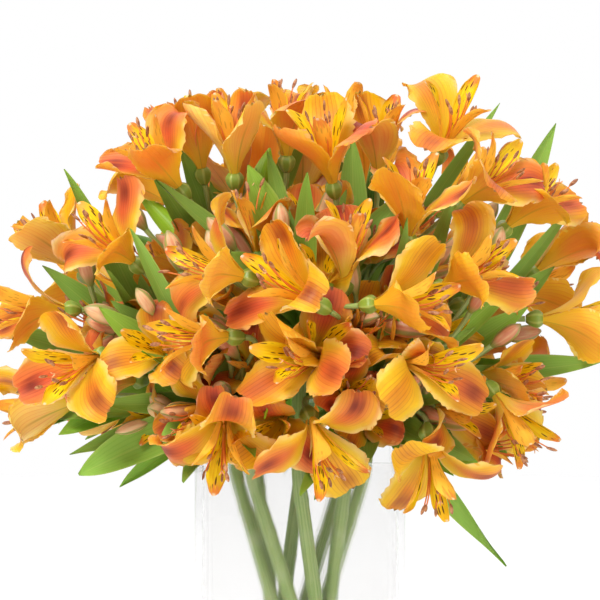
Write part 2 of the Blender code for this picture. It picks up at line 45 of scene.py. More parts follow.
# Layout, the same as the solids have: places in mm from the middle of the vase's foot, ways as azimuth and
# elevation in degrees.
#   umbel:   way that the umbel points, and its distance from the dome's middle
#   flowers: place of the ovary's foot, way faced, outer and inner openness
#   buds:    place of the bud's foot, way that it points, size
#   leaves:  place of the tip, width in mm, twist in degrees
stems = {
    "front": {
        "umbel": (2, 48, 68),
        "flowers": (
            (16, -108, 304, -55, 28, 0.85, 0.8), (24, -84, 312, 12, 66, 0.6, 0.5),
            (32, -104, 307, 62, 6, 0.85, 0.7), (-22, -106, 320, -68, 16, 1.1, 0.9),
            (20, -66, 367, -22, 62, 0.7, 0.8), (-37, -45, 373, -10, 74, 0.6, 0.6),
        ),
        "buds": (
            (-10, -82, 341, -10, 75, 0.85), (-36, -78, 338, -60, 45, 0.9), (-42, -82, 328, -55, 62, 0.85),
        ),
        "leaves": (
            (-29, -74, 385, 22, 15), (4, -100, 379, 13, -20), (-72, -84, 377, 14, 40),
            (-19, -118, 247, 14, 60), (-16, -120, 326, 20, -10), (-19, -46, 396, 12, 20),
            (36, -98, 258, 18, 0), (-8, -106, 264, 18, 20), (62, -78, 372, 16, 10),
        ),
    },
    "front_right": {
        "umbel": (34, 2, 68),
        "flowers": (
            (3, -98, 252, 25, -42, 1.15, 0.75), (52, -92, 276, 36, 0, 1.05, 0.85),
            (70, -80, 242, 5, -58, 1.0, 0.6), (105, -60, 264, 52, -48, 0.9, 0.7),
            (72, -84, 314, 52, 24, 0.8, 0.5), (59, -90, 337, 5, 62, 0.9, 0.7),
        ),
        "buds": (
            (106, -58, 331, 40, 60, 0.85), (95, -68, 303, 50, 55, 0.75), (108, -60, 284, 60, 35, 0.8),
        ),
        "leaves": (
            (57, -112, 354, 10, 30), (82, -88, 364, 10, 0), (130, -58, 306, 16, 10),
            (123, -66, 324, 13, 30), (107, -50, 212, 11, 20), (118, -48, 158, 13, 100),
            (8, -84, 200, 11, 20), (126, -70, 284, 20, 0), (96, -84, 222, 16, 20),
        ),
    },
    "right": {
        "umbel": (96, 10, 68),
        "flowers": (
            (132, -25, 299, 84, 0, 0.85, 0.75), (136, 6, 322, 84, 42, 0.6, 0.6),
            (114, -34, 347, 66, 42, 0.8, 0.7), (112, 34, 266, 112, -20, 0.9, 0.8),
            (120, 30, 312, 106, 12, 0.9, 0.8), (78, 74, 262, 140, -22, 0.9, 0.8),
        ),
        "buds": (
            (122, 6, 288, 96, 8, 0.9), (104, 40, 300, 120, 30, 0.85),
        ),
        "leaves": (
            (156, 2, 398, 18, 10), (164, -18, 370, 9, 30), (176, -25, 274, 17, 0), (150, -20, 330, 18, 0),
            (138, -30, 236, 18, 10), (150, 40, 232, 17, 10), (128, 66, 300, 15, 20),
        ),
    },
    "back_right": {
        "umbel": (110, 58, 66),
        "flowers": (
            (78, -42, 388, 25, 50, 1.1, 0.9), (45, -35, 373, 12, 72, 0.6, 0.6),
            (84, -66, 359, 62, 38, 0.9, 0.9), (84, 36, 362, 112, 46, 0.85, 0.8),
            (38, 64, 368, 150, 48, 0.9, 0.8), (22, 22, 388, 130, 76, 0.8, 0.7),
        ),
        "buds": (
            (104, 4, 350, 84, 52, 0.9), (62, 56, 356, 132, 46, 0.85),
        ),
        "leaves": (
            (124, 4, 412, 9, 20), (52, 22, 428, 14, 20), (98, 72, 386, 15, -20), (12, 82, 408, 14, 20),
            (8, 36, 400, 22, -10),
        ),
    },
    "back": {
        "umbel": (178, 12, 68),
        "flowers": (
            (22, 96, 262, 168, -22, 0.95, 0.8), (-36, 94, 266, -160, -24, 0.95, 0.8),
            (86, 66, 320, 128, 14, 0.9, 0.8), (12, 96, 322, 172, 14, 0.95, 0.8),
            (-66, 80, 316, -146, 12, 0.9, 0.8),
        ),
        "buds": (
            (8, 96, 296, 174, 8, 0.9), (-40, 90, 296, -160, 10, 0.85),
        ),
        "leaves": (
            (52, 146, 238, 17, 10), (-10, 154, 216, 17, -10), (-66, 136, 240, 16, 10), (52, 34, 334, 26, 0),
            (40, 34, 214, 22, 0),
        ),
    },
    "back_left": {
        "umbel": (-112, 58, 66),
        "flowers": (
            (-56, -20, 378, -30, 72, 0.6, 0.6), (-8, -8, 386, -4, 80, 0.6, 0.5),
            (-63, -55, 367, -58, 48, 0.8, 0.8), (-22, 64, 368, -162, 48, 0.9, 0.8),
            (-74, 40, 364, -118, 46, 0.9, 0.8), (-36, 22, 388, -130, 72, 0.8, 0.7),
        ),
        "buds": (
            (-92, -4, 352, -84, 52, 0.9), (-50, 58, 356, -142, 46, 0.85),
        ),
        "leaves": (
            (-64, -32, 409, 16, 15), (-88, -30, 388, 16, 0), (6, -6, 430, 14, 10), (-104, 56, 390, 15, 20),
            (-50, 84, 406, 14, -20), (-24, 34, 396, 22, 10),
        ),
    },
    "left": {
        "umbel": (-96, 12, 68),
        "flowers": (
            (-128, -27, 304, -72, 4, 0.95, 0.8), (-124, -8, 320, -76, 52, 0.6, 0.6),
            (-88, -60, 326, -52, 38, 0.95, 0.8), (-114, 34, 268, -108, -18, 0.9, 0.8),
            (-106, 50, 316, -118, 14, 0.9, 0.8), (-84, 72, 264, -140, -20, 0.9, 0.8),
        ),
        "buds": (
            (-121, -38, 318, -50, 75, 0.95), (-98, -62, 297, -70, 20, 0.95), (-110, 44, 292, -112, 4, 0.85),
        ),
        "leaves": (
            (-133, -60, 372, 13, 30), (-178, -15, 292, 18, 10), (-166, 4, 262, 16, 0),
            (-112, -56, 350, 18, 0), (-150, -30, 330, 16, 0), (-140, -34, 232, 18, 0),
            (-140, 60, 236, 16, 10), (-107, -74, 318, 8, 20), (-138, 62, 352, 14, 10),
        ),
    },
    "front_left": {
        "umbel": (-36, 2, 68),
        "flowers": (
            (-40, -92, 258, -5, -50, 1.15, 0.7), (-30, -102, 290, -68, 4, 1.0, 0.85),
            (-108, -62, 280, -34, -10, 0.9, 0.8), (-120, -30, 253, -80, -10, 0.5, 0.4),
            (16, -94, 278, -34, 4, 0.8, 0.5),
        ),
        "buds": (
            (-66, -80, 326, -40, 65, 0.9), (-80, -84, 302, -50, 50, 0.7), (-100, -52, 292, -74, 18, 0.85),
        ),
        "leaves": (
            (-89, -96, 349, 11, 20), (-165, -36, 249, 9, 30), (-131, -52, 222, 13, 20),
            (-124, -66, 212, 24, 0), (-103, -48, 203, 11, 10), (-84, -88, 282, 11, 60),
            (-22, -82, 216, 18, 20), (-112, -74, 306, 18, 0), (-66, -96, 318, 16, 20),
            (-76, -84, 236, 18, 0),
        ),
    },
}

bunch = {
    "domeCentre": (0, 0, 250),
    "domeSwell": 0.4,
    "rimStep": 45,  # degrees between one stem and the next at the vase's rim
    "spiralTurn": 128,
    "footCircle": 32,
    "footHeight": 12,
    "rimCircle": 37,
    "rimHeight": 200.56,
    "straightOn": 24,  # mm that a stem goes straight on past the rim
    "topPull": 32,  # mm that it runs straight into its umbel
    "umbelRadius": 6,
    "stalkRing": 4,
    "leafRing": 2,
    "leafDrop": 7,
    "leafBend": 0.62,  # place on a stem's curve from which its whorl of leaves is strung
    "innerBend": 0.7,  # and from which what grows inside the bunch is
    "goldenAngle": 137.508,
}
domeCentre = np.array(bunch["domeCentre"])


# Small maths

def direction(azimuth, elevation):
    # unit vector: azimuth 0 is the front, 90 the right-hand side
    a, e = math.radians(azimuth), math.radians(elevation)
    return np.array((math.cos(e) * math.sin(a), -math.cos(e) * math.cos(a), math.sin(e)))


def vary(i, j):
    # fixed irregular number from 0 to 1: the fraction of a large multiple of a sine
    return (math.sin(i * 12.9898 + j * 78.233) * 43758.5453) % 1


def unit(v):
    return v / np.maximum(np.linalg.norm(v, axis=-1, keepdims=True), 1e-12)


def profile(stops, t):
    # smooth curve through (place, value) stops: cubic Hermite spans, each stop's slope from its neighbours
    x, y = np.array(stops, float).T
    slope = np.gradient(y, x)
    t = np.asarray(t, float)
    k = np.clip(np.searchsorted(x, t, side="right") - 1, 0, len(x) - 2)
    wide = x[k + 1] - x[k]
    s = np.clip((t - x[k]) / wide, 0, 1)
    rise = (1 + 2 * s) * (1 - s) ** 2 * y[k] + s * s * (3 - 2 * s) * y[k + 1]
    return rise + s * (1 - s) ** 2 * wide * slope[k] - s * s * (1 - s) * wide * slope[k + 1]


def bezier(control, t):
    # point at t on the cubic curve through four control points
    a, b, c, d = (np.asarray(p, float) for p in control)
    t = np.asarray(t, float)[..., None]
    s = 1 - t
    return a * s**3 + b * (3 * s * s * t) + c * (3 * s * t * t) + d * t**3


def turned(v, axis, angle):
    # v turned round a unit axis at right angles to it: cosine of v plus sine of axis cross v
    angle = np.asarray(angle)[..., None]
    return v * np.cos(angle) + np.cross(axis, v) * np.sin(angle)


# Surfaces

def quadsOf(index):
    # the four corners of every cell of a grid of vertex numbers
    corners = (index[:-1, :-1], index[1:, :-1], index[1:, 1:], index[:-1, 1:])
    return np.stack(corners, -1).reshape(-1, 4)


def shell(points, thickness, uv, mark, look):
    # thin closed blade: the grid raised and lowered by half its thickness along its normal, meeting at its
    # margin. The under side has the same pattern coordinates with 2 added to the first
    rows, columns = points.shape[:2]
    normal = unit(np.cross(np.gradient(points, axis=0), np.gradient(points, axis=1)))
    inside = np.zeros((rows, columns), bool)
    inside[1:-1, 1:-1] = True
    shift = normal * (np.where(inside, thickness, 0) / 2)[..., None]
    upper = np.arange(rows * columns).reshape(rows, columns)
    lower = upper.copy()
    lower[inside] = rows * columns + np.arange(inside.sum())
    cells = quadsOf(upper)
    flatUv = uv.reshape(-1, 2)
    return {
        "points": np.concatenate([(points + shift).reshape(-1, 3), (points - shift)[inside]]),
        "quads": np.concatenate([cells, quadsOf(lower)[:, ::-1]]),
        "uv": np.concatenate([flatUv[cells], flatUv[cells][:, ::-1] + (2, 0)]),
        "mark": mark,
        "look": look,
    }


def ringed(points, mark, look):
    # closed skin over rings of points, each end drawn together to the middle of its last ring
    rows, sides = points.shape[:2]
    ends = points[[0, -1]].mean(1, keepdims=True).repeat(sides, 1)
    points = np.concatenate([ends[:1], points, ends[1:]])
    index = np.arange(rows * sides).reshape(rows, sides)
    low, high = np.full((1, sides), rows * sides), np.full((1, sides), rows * sides + 1)
    index = np.concatenate([low, index, high])
    index = np.concatenate([index, index[:, :1]], 1)
    cells = quadsOf(index)[:, ::-1]
    t, around = np.meshgrid(np.linspace(0, 1, rows + 2), np.linspace(0, 1, sides + 1), indexing="ij")
    grid = np.arange(t.size).reshape(t.shape)
    return {
        "points": np.concatenate([points[1:-1].reshape(-1, 3), ends[:, 0]]),
        "quads": cells,
        "uv": np.stack([around, t], -1).reshape(-1, 2)[quadsOf(grid)[:, ::-1]],
        "mark": mark,
        "look": look,
    }


def frames(path):
    # directions along and across a path, the first across turned least away from one fixed direction
    along = unit(np.gradient(path, axis=0))
    steady = np.eye(3)[np.argmin(np.abs(along).max(0))]
    across = unit(np.cross(steady, along))
    return along, across, np.cross(along, across)


def tube(path, radii, sides, mark, look, ribs=0, ribDepth=0.0, swirl=0.0):
    # rings at right angles to a path, each of its own radius, with ribs as a cosine round the ring
    along, across, beside = frames(path)
    around = np.linspace(0, 2 * math.pi, sides, endpoint=False)[None, :]
    t = np.linspace(0, 1, len(path))[:, None]
    radius = np.asarray(radii)[:, None] * (1 + ribDepth * np.cos(ribs * around + swirl * t))
    rings = across[:, None] * np.cos(around)[..., None] + beside[:, None] * np.sin(around)[..., None]
    return ringed(path[:, None] + rings * radius[..., None], mark, look)


def linked(name, data):
    # a new object in the scene
    thing = bpy.data.objects.new(name, data)
    bpy.context.scene.collection.objects.link(thing)
    return thing


def addPiece(name, parts, nodes=()):
    # one mesh object from many surfaces, riding on the part's only body
    starts = np.cumsum([0] + [len(p["points"]) for p in parts])
    points = np.concatenate([p["points"] for p in parts])
    quads = np.concatenate([p["quads"] + s for p, s in zip(parts, starts)])
    uv = np.concatenate([p["uv"] for p in parts])
    # a cell with two equal corners is a triangle: its first copy of the corner is dropped
    keep = quads != np.roll(quads, -1, axis=1)
    sizes = keep.sum(1)
    mesh = bpy.data.meshes.new(name)
    mesh.vertices.add(len(points))
    mesh.vertices.foreach_set("co", points.astype(np.float32).ravel())
    mesh.loops.add(int(sizes.sum()))
    mesh.loops.foreach_set("vertex_index", quads[keep].astype(np.int32))
    mesh.polygons.add(len(quads))
    mesh.polygons.foreach_set("loop_start", np.concatenate([[0], np.cumsum(sizes)[:-1]]).astype(np.int32))
    mesh.update(calc_edges=True)
    slots = sorted({p["look"] for p in parts})
    of = np.concatenate([np.full(len(p["quads"]), slots.index(p["look"])) for p in parts])
    mesh.polygons.foreach_set("material_index", of.astype(np.int32))
    mesh.uv_layers.new(name="pattern").data.foreach_set("uv", uv[keep].astype(np.float32).ravel())
    marks = mesh.attributes.new("mark", "FLOAT_COLOR", "POINT")
    marks.data.foreach_set("color", np.concatenate(
        [np.tile(p["mark"], (len(p["points"]), 1)) for p in parts]).astype(np.float32).ravel())
    mesh.shade_smooth()
    mesh.set_sharp_from_angle(angle=math.radians(60))
    for look in slots:
        mesh.materials.append(looks[look])
    piece = linked(name, mesh)
    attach(piece, "root")
    if nodes:
        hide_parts(*nodes)


# Shader wiring

def tone(code):
    # linear colour of a screen colour such as "#F0882A"
    parts = [int(code[k:k + 2], 16) / 255 for k in (1, 3, 5)]
    return (*[p / 12.92 if p <= 0.04045 else ((p + 0.055) / 1.055) ** 2.4 for p in parts], 1)


class Wire:
    # a node's output; arithmetic on it adds Math nodes to its material

    def __init__(self, paint, socket):
        self.paint, self.socket = paint, socket

    def __add__(self, other):
        return self.paint.maths("ADD", self, other)

    def __sub__(self, other):
        return self.paint.maths("SUBTRACT", self, other)

    def __rsub__(self, other):
        return self.paint.maths("SUBTRACT", other, self)

    def __mul__(self, other):
        return self.paint.maths("MULTIPLY", self, other)

    def __gt__(self, other):
        return self.paint.maths("GREATER_THAN", self, other)

    __radd__ = __add__
    __rmul__ = __mul__


class Paint:
    # a material and the nodes wired into its Principled shader. A value in words is a colour of its look

    def __init__(self, name, look, **fixed):
        self.material = bpy.data.materials.new(name)
        self.material.use_nodes = True
        self.tree = self.material.node_tree
        self.shader = self.tree.nodes["Principled BSDF"]
        self.look = look
        for socket, value in fixed.items():
            self.feed(self.shader.inputs[socket.replace("_", " ")], value)

    def feed(self, socket, value):
        # a wire is linked to the socket, anything else becomes the socket's own value
        if isinstance(value, Wire):
            self.tree.links.new(value.socket, socket)
        else:
            socket.default_value = tone(self.look[value]) if isinstance(value, str) else value

    def node(self, kind, settings, sockets, output=0):
        # a shader node, its settings and what goes into its sockets
        made = self.tree.nodes.new("ShaderNode" + kind)
        for key, value in settings.items():
            setattr(made, key, value)
        for key, value in sockets.items():
            self.feed(made.inputs[key], value)
        return Wire(self, made.outputs[output])

    def maths(self, operation, *values):
        return self.node("Math", {"operation": operation}, dict(enumerate(values)))

    def mix(self, share, first, second):
        # colour from first to second
        return self.node("Mix", {"data_type": "RGBA"}, {0: share, 6: first, 7: second}, 2)

    def layers(self, colour, *coats):
        # a colour with coats over it, each given as its share and its own colour
        for share, coat in coats:
            colour = self.mix(share, colour, coat)
        return colour

    def between(self, value, low, high):
        # 0 below low, 1 above high, a smooth step between
        return self.node("MapRange", {"interpolation_type": "SMOOTHSTEP"}, {0: value, 1: low, 2: high})

    def below(self, value, low, high):
        # 1 below low, 0 above high
        return 1 - self.between(value, low, high)

    def near(self, value, middle, width):
        # 1 at the middle, falling smoothly to 0 a width away
        return self.below(self.maths("ABSOLUTE", value - middle), 0.0, width)

    def pattern(self):
        # across from 0 to 1, along from 0 to 1, and 1 on the under side
        uv = self.node("UVMap", {"uv_map": "pattern"}, {})
        first = self.node("SeparateXYZ", {}, {0: uv})
        under = first > 1.5
        return first - under * 2, Wire(self, first.socket.node.outputs[1]), under

    def margins(self, across):
        # 0 on the rib, 1 on both margins
        return self.maths("ABSOLUTE", across * 2 - 1)

    def mark(self):
        # the three numbers that vary from one petal or leaf to the next
        colour = self.node("Attribute", {"attribute_name": "mark"}, {})
        first = self.node("SeparateColor", {}, {0: colour})
        return [Wire(self, output) for output in first.socket.node.outputs]

    def place(self, x, y, z=0.0):
        # a vector from its three coordinates
        return self.node("CombineXYZ", {}, {0: x, 1: y, 2: z})

    def noise(self, vector, scale, detail=2.0):
        # soft noise between 0 and 1
        return self.node("TexNoise", {}, {"Vector": vector, "Scale": scale, "Detail": detail})

    def objectPlace(self):
        # the place on the piece, in metres
        return self.node("TexCoord", {}, {}, 3)

    def finish(self, colour, roughness=None, height=None, bump=0.3, depth=0.0003):
        # wires colour, roughness and relief into the shader
        self.feed(self.shader.inputs["Base Color"], colour)
        if roughness is not None:
            self.feed(self.shader.inputs["Roughness"], roughness)
        if height is not None:
            raised = self.node("Bump", {}, {"Strength": bump, "Distance": depth, "Height": height})
            self.feed(self.shader.inputs["Normal"], raised)
        return self.material


# Petal finishes

outerPetalLook = {
    "throat": "#EFC22E",
    "body": "#EA9014",
    "light": "#F6B81C",
    "deep": "#B65A12",
    "coral": "#E26C3A",
    "blush": "#D4522C",
    "heart": "#6E2416",
    "streak": "#A8341A",
    "margin": "#FBD084",
    "under": "#F8B630",
    "underPale": "#FCDC8C",
    "underBlush": "#E4643A",
    "underRib": "#9C9430",
    "point": "#5B4526",
    "veins": 13,
}


def outerPetalMaterial(look):
    # orange in clouds, yellow at the claw and the sides. A petal that blushes more is more coral, with a
    # redder band along its rib, which darkens to a blotch near the apex. Veins fan out over it, and its
    # margin is cream. The under side is lighter, with the same band and veins
    p = Paint("petalOuter", look, Subsurface_Weight=0.32, Subsurface_Scale=0.004,
              Subsurface_Radius=(1.0, 0.45, 0.12), Specular_IOR_Level=0.25)
    across, along, under = p.pattern()
    blushy, warm, pale = p.mark()
    side = p.margins(across)
    streaks = p.noise(p.place(across * 9, along * 1.3, blushy * 40), 1.0)
    mottle = p.noise(p.objectPlace(), 90.0)
    clouds = p.noise(p.objectPlace(), 24.0)
    fan = side * (1.35 - along * 0.35)
    veins = p.between(p.maths("SINE", fan * look["veins"] * math.pi + streaks * 3.0), 0.5, 1.0)
    coral = p.between(blushy + (streaks - 0.5) * 0.5, 0.35, 0.85) * p.between(along - side * 0.15, 0.2, 0.6)
    wide = side + (streaks - 0.5) * 0.6
    band = p.between(along, 0.3, 0.7) * p.below(along, 0.95, 1.02) * p.below(wide, 0.05, 0.8)
    band = band * (0.25 + blushy * 0.75)
    heart = p.near(along, 0.82, 0.2) * p.below(wide, 0.05, 0.5) * p.between(pale + blushy, 0.3, 1.4)
    upper = p.layers(
        "body",
        (p.between(mottle + streaks * 0.6 + warm, 0.6, 1.35), "light"),
        (p.between(clouds + blushy * 0.3, 0.6, 0.95) * 0.6, "deep"),
        (coral * 0.8, "coral"),
        (p.below(along + streaks * 0.2 - side * 0.25, 0.32, 0.78), "throat"),
        (band, "blush"),
        (veins * p.between(along, 0.25, 0.6) * p.below(side, 0.3, 0.85) * 0.34, "streak"),
        (heart * 0.92, "heart"),
        (p.between(side, 0.72, 1.0) * (0.15 + pale * 0.75), "margin"))
    lower = p.layers(
        "under",
        (pale * pale * 0.65, "underPale"),
        (p.maths("MAXIMUM", band * 0.7, coral * 0.75), "underBlush"),
        (p.between(side, 0.5, 1.0) * 0.6, "light"),
        (veins * 0.26 + p.between(streaks, 0.5, 0.75) * 0.3, "underBlush"),
        (p.below(along + streaks * 0.2, 0.2, 0.62), "throat"),
        (p.near(side, 0.0, 0.1) * p.below(along, 0.4, 0.9) * 0.6, "underRib"),
        (0.4 - pale * 0.4, "body"))
    point = p.between(along, 0.945, 0.975) * p.below(side, 0.04, 0.11)
    colour = p.layers(upper, (under, lower), (point * 0.9, "point"))
    return p.finish(colour, 0.42 + mottle * 0.14, veins * 0.5 + streaks, 0.3, 0.0004)


innerPetalLook = {
    "throat": "#B0A620",
    "body": "#EAB600",
    "light": "#F8D616",
    "tip": "#DC6A32",
    "dash": "#3F1206",
    "under": "#F6B83E",
    "point": "#E9C9A0",
    "dashesAcross": 8.0,
    "dashesAlong": 6.5,
}


def innerPetalMaterial(look):
    # bright yellow with an orange-red tip and short dark dashes along the blade
    p = Paint("petalInner", look, Subsurface_Weight=0.15, Subsurface_Scale=0.003,
              Subsurface_Radius=(1.0, 0.5, 0.1), Specular_IOR_Level=0.25)
    across, along, under = p.pattern()
    blushy, warm, _ = p.mark()
    side = p.margins(across)
    streaks = p.noise(p.place(across * 12, along * 1.5, blushy * 40), 1.0)
    cells = p.node("TexVoronoi", {}, {
        "Vector": p.place(across * look["dashesAcross"], along * look["dashesAlong"], blushy * 30),
        "Scale": 1.0, "Randomness": 0.8})
    dashes = p.below(cells, 0.26, 0.36) * p.between(along, 0.25, 0.42)
    dashes = dashes * p.below(along, 0.88, 0.95) * p.below(side, 0.8, 0.95)
    tip = p.between(along + (streaks - 0.5) * 0.3, 0.82, 0.97) * (0.25 + warm * 0.75)
    upper = p.layers(
        "body",
        (p.between(streaks, 0.35, 0.7), "light"),
        (p.below(along, 0.05, 0.3), "throat"),
        (tip, "tip"),
        (dashes * 0.93, "dash"))
    lower = p.layers("under", (dashes * 0.3, "dash"), (tip * 0.8, "tip"))
    point = p.between(along, 0.965, 0.985) * p.below(side, 0.1, 0.3)
    colour = p.layers(upper, (under, lower), (point * 0.9, "point"))
    return p.finish(colour, 0.4 + streaks * 0.14, streaks, 0.3, 0.0003)


heartLooks = {
    "anther": {"first": "#8E5434", "second": "#C08A5E", "scale": 500.0, "roughness": 0.5},
    "stigma": {"first": "#E9C58A", "second": "#E08A5A", "scale": 600.0, "roughness": 0.45},
    "filament": {"foot": "#EDB634", "top": "#E2813C"},
    "ovary": {"green": "#86A038", "rib": "#A6B656", "ribs": 6},
}


def mottledMaterial(name):
    # two colours mottled over the surface, a little relief from the same mottle
    look = heartLooks[name]
    p = Paint(name, look)
    mottle = p.noise(p.objectPlace(), look["scale"], 3.0)
    colour = p.mix(p.between(mottle, 0.35, 0.65), "first", "second")
    return p.finish(colour, look["roughness"] + mottle * 0.1, mottle, 0.25, 0.0002)


def filamentMaterial(look):
    # yellow at the foot, salmon towards the anther
    p = Paint("filament", look, Roughness=0.4, Subsurface_Weight=0.2, Subsurface_Scale=0.002)
    _, along, _ = p.pattern()
    return p.finish(p.mix(p.between(along, 0.15, 0.6), "foot", "top"))


def ovaryMaterial(look):
    # green with pale ribs
    p = Paint("ovary", look, Roughness=0.38, Subsurface_Weight=0.15, Subsurface_Scale=0.003)
    around, _, _ = p.pattern()
    ribs = p.between(p.maths("COSINE", around * look["ribs"] * 2 * math.pi), 0.2, 1.0)
    return p.finish(p.mix(ribs, "green", "rib"), None, ribs, 0.3, 0.0003)


# Green finishes

leafLook = {
    "upper": "#568C10",
    "deep": "#2C5808",
    "young": "#94BC1C",
    "under": "#8AB04C",
    "margin": "#AEC05C",
    "veins": 9,
}


def leafMaterial(look):
    # satin green with parallel veins, yellower where young, lighter below, with a thin pale margin and rib
    p = Paint("leaf", look, Subsurface_Weight=0.08, Subsurface_Scale=0.003,
              Subsurface_Radius=(0.5, 1.0, 0.2), Specular_IOR_Level=0.22)
    across, along, under = p.pattern()
    youth, dark, _ = p.mark()
    side = p.margins(across)
    mottle = p.noise(p.objectPlace(), 60.0)
    fine = p.noise(p.place(across * 40, along * 2, youth * 30), 1.0)
    veins = p.between(p.maths("COSINE", across * look["veins"] * 2 * math.pi), 0.5, 1.0)
    upper = p.layers(
        "upper",
        (p.between(mottle + dark * 0.6, 0.45, 1.05), "deep"),
        (youth, "young"),
        (veins * 0.09 + fine * 0.1, "margin"))
    lower = p.layers("under", (youth * 0.6, "young"), (veins * 0.16, "upper"))
    colour = p.layers(upper, (under, lower), (p.between(side, 0.88, 1.0) * 0.5, "margin"),
                      (p.near(side, 0.0, 0.08) * 0.3, "margin"))
    return p.finish(colour, 0.36 + under * 0.2 + mottle * 0.1, veins * 0.3 + fine * 0.4, 0.3, 0.0004)


stemLook = {"green": "#84A050", "streak": "#A8BC70", "pale": "#C2CC98"}


def stemMaterial(look):
    # mid green, paler along fine lengthwise streaks and in patches
    p = Paint("stem", look, Subsurface_Weight=0.1, Subsurface_Scale=0.003)
    around, along, _ = p.pattern()
    streaks = p.noise(p.place(around * 26, along * 5), 1.0)
    mottle = p.noise(p.objectPlace(), 45.0)
    colour = p.layers("green", (p.between(streaks, 0.3, 0.7), "streak"),
                      (p.between(mottle, 0.5, 0.75) * 0.5, "pale"))
    return p.finish(colour, 0.34 + streaks * 0.12, streaks, 0.3, 0.0003)


budLook = {"flush": "#D98A62", "pale": "#E6BE8C", "rib": "#8C9A48", "tip": "#7C8A3E", "foot": "#7E9A40"}


def budMaterial(look):
    # rosy between green ribs, green at the foot and the tip
    p = Paint("bud", look, Roughness=0.42, Subsurface_Weight=0.15, Subsurface_Scale=0.003)
    around, along, _ = p.pattern()
    first, second, _ = p.mark()
    streaks = p.noise(p.place(around * 20, along * 2.5, first * 20), 1.0)
    ribs = p.between(p.maths("COSINE", around * 6 * math.pi + along * 1.2 + 1.0), 0.45, 1.0)
    colour = p.layers(
        "flush",
        (p.between(streaks + second * 0.4, 0.4, 0.95), "pale"),
        (ribs * 0.85, "rib"),
        (p.below(along, 0.05, 0.35) * 0.9, "foot"),
        (p.between(along, 0.82, 0.98) * 0.8, "tip"))
    return p.finish(colour, None, streaks + ribs * 0.6, 0.4, 0.0005)


# Clear finishes

clearLooks = {
    "glass": {"colour": "#E6E5E4", "bending": 1.45, "alpha": 0.34},
    "water": {"colour": "#F4F8F6", "bending": 1.333, "alpha": 0.3},
}


def clearMaterial(name, look):
    # clear all through; an even alpha lets light reach what stands in it
    return Paint(name, look, Base_Color="colour", Roughness=0.0, IOR=look["bending"],
                 Transmission_Weight=1.0, Alpha=look["alpha"]).material


looks = {
    "outerPetal": outerPetalMaterial(outerPetalLook),
    "innerPetal": innerPetalMaterial(innerPetalLook),
    "filament": filamentMaterial(heartLooks["filament"]),
    "anther": mottledMaterial("anther"),
    "stigma": mottledMaterial("stigma"),
    "ovary": ovaryMaterial(heartLooks["ovary"]),
    "leaf": leafMaterial(leafLook),
    "stem": stemMaterial(stemLook),
    "bud": budMaterial(budLook),
    "glass": clearMaterial("vaseGlass", clearLooks["glass"]),
    "water": clearMaterial("waterClear", clearLooks["water"]),
}
print("materials made")


# Petals, in the flower's own frame: +Z out of its mouth, +Y towards its upper petal. Lengths in mm

outerPetal = {
    "look": "outerPetal",
    "azimuths": (90, 210, 330),
    "length": 56,
    "width": 32,
    "rootAngle": 8,
    "flare": 92,
    "channel": 0.3,
    "roll": (-0.75, 0.85),
    "curl": (-85, 120),
    "widths": ((0, 0.11), (0.16, 0.17), (0.34, 0.42), (0.5, 0.76), (0.66, 0.97), (0.78, 1.0), (0.9, 0.94),
               (1, 0.82)),
    "shoulder": 0.17,
    "notch": 0.055,
    "point": 0.045,
    "ruffle": 2.0,
    "teeth": 0.09,
    "rows": 30,
    "columns": 17,
    "teethDrawn": (34, 19),  # rows and columns of random numbers, of which the grid takes its part
}
innerPetal = {
    "look": "innerPetal",
    "azimuths": (30, 150, 270),
    "length": 53,
    "width": 12,
    "rootAngle": 5,
    "flare": 46,
    "channel": 0.6,
    "roll": (0.0, 0.5),
    "curl": (-12, 22),
    "widths": ((0, 0.16), (0.25, 0.26), (0.5, 0.58), (0.72, 0.93), (0.84, 1.0), (0.93, 0.88), (1, 0.6)),
    "shoulder": 0.1,
    "notch": 0.0,
    "point": 0.05,
    "ruffle": 0.5,
    "teeth": 0.03,
    "rows": 22,
    "columns": 9,
    "teethDrawn": (26, 11),
}
anyPetal = {
    "out": 0.9,  # where the claw leaves the ovary
    "up": 3,
    "curlFrom": 0.62,
    "uneven": 0.008,  # of the length, from one column to the next
    "twist": 14,
    "slowWaves": (9, 14),
    "quickWaves": (20, 30),
    "groove": 0.3,
    "thickness": 0.5,
}

# ranges within which flowers differ: share of the size and of the flare, degrees round the flower
flowerVary = {"size": (0.95, 1.05), "flare": (0.88, 1.12), "around": (-4, 4)}

# first random seed of each kind of thing
seeds = {
    "stamens": 500,
    "leaf": 900,
    "innerLeaf": 2000,
    "innerLeaves": 77,
    "innerPetal": 3000,
    "innerBlooms": 40,
}

# how a petal was bent clear of its neighbours: degrees of flare, degrees round the flower, share of length
petalBends = (
    (0, 0, 1), (-9, 0, 1), (9, 0, 1), (-9, 9, 1), (-9, -9, 1), (-18, 0, 1), (18, 0, 1), (-18, 10, 1),
    (-18, -10, 1), (-27, 0, 1), (27, 0, 1), (-36, 0, 1), (-27, 12, 0.85), (-27, -12, 0.85), (-40, 0, 0.85),
    (-50, 0, 0.8), (-40, 14, 0.75), (-40, -14, 0.75), (-60, 0, 0.7), (-60, 16, 0.6), (-60, -16, 0.6),
    (-70, 0, 0.5),
)


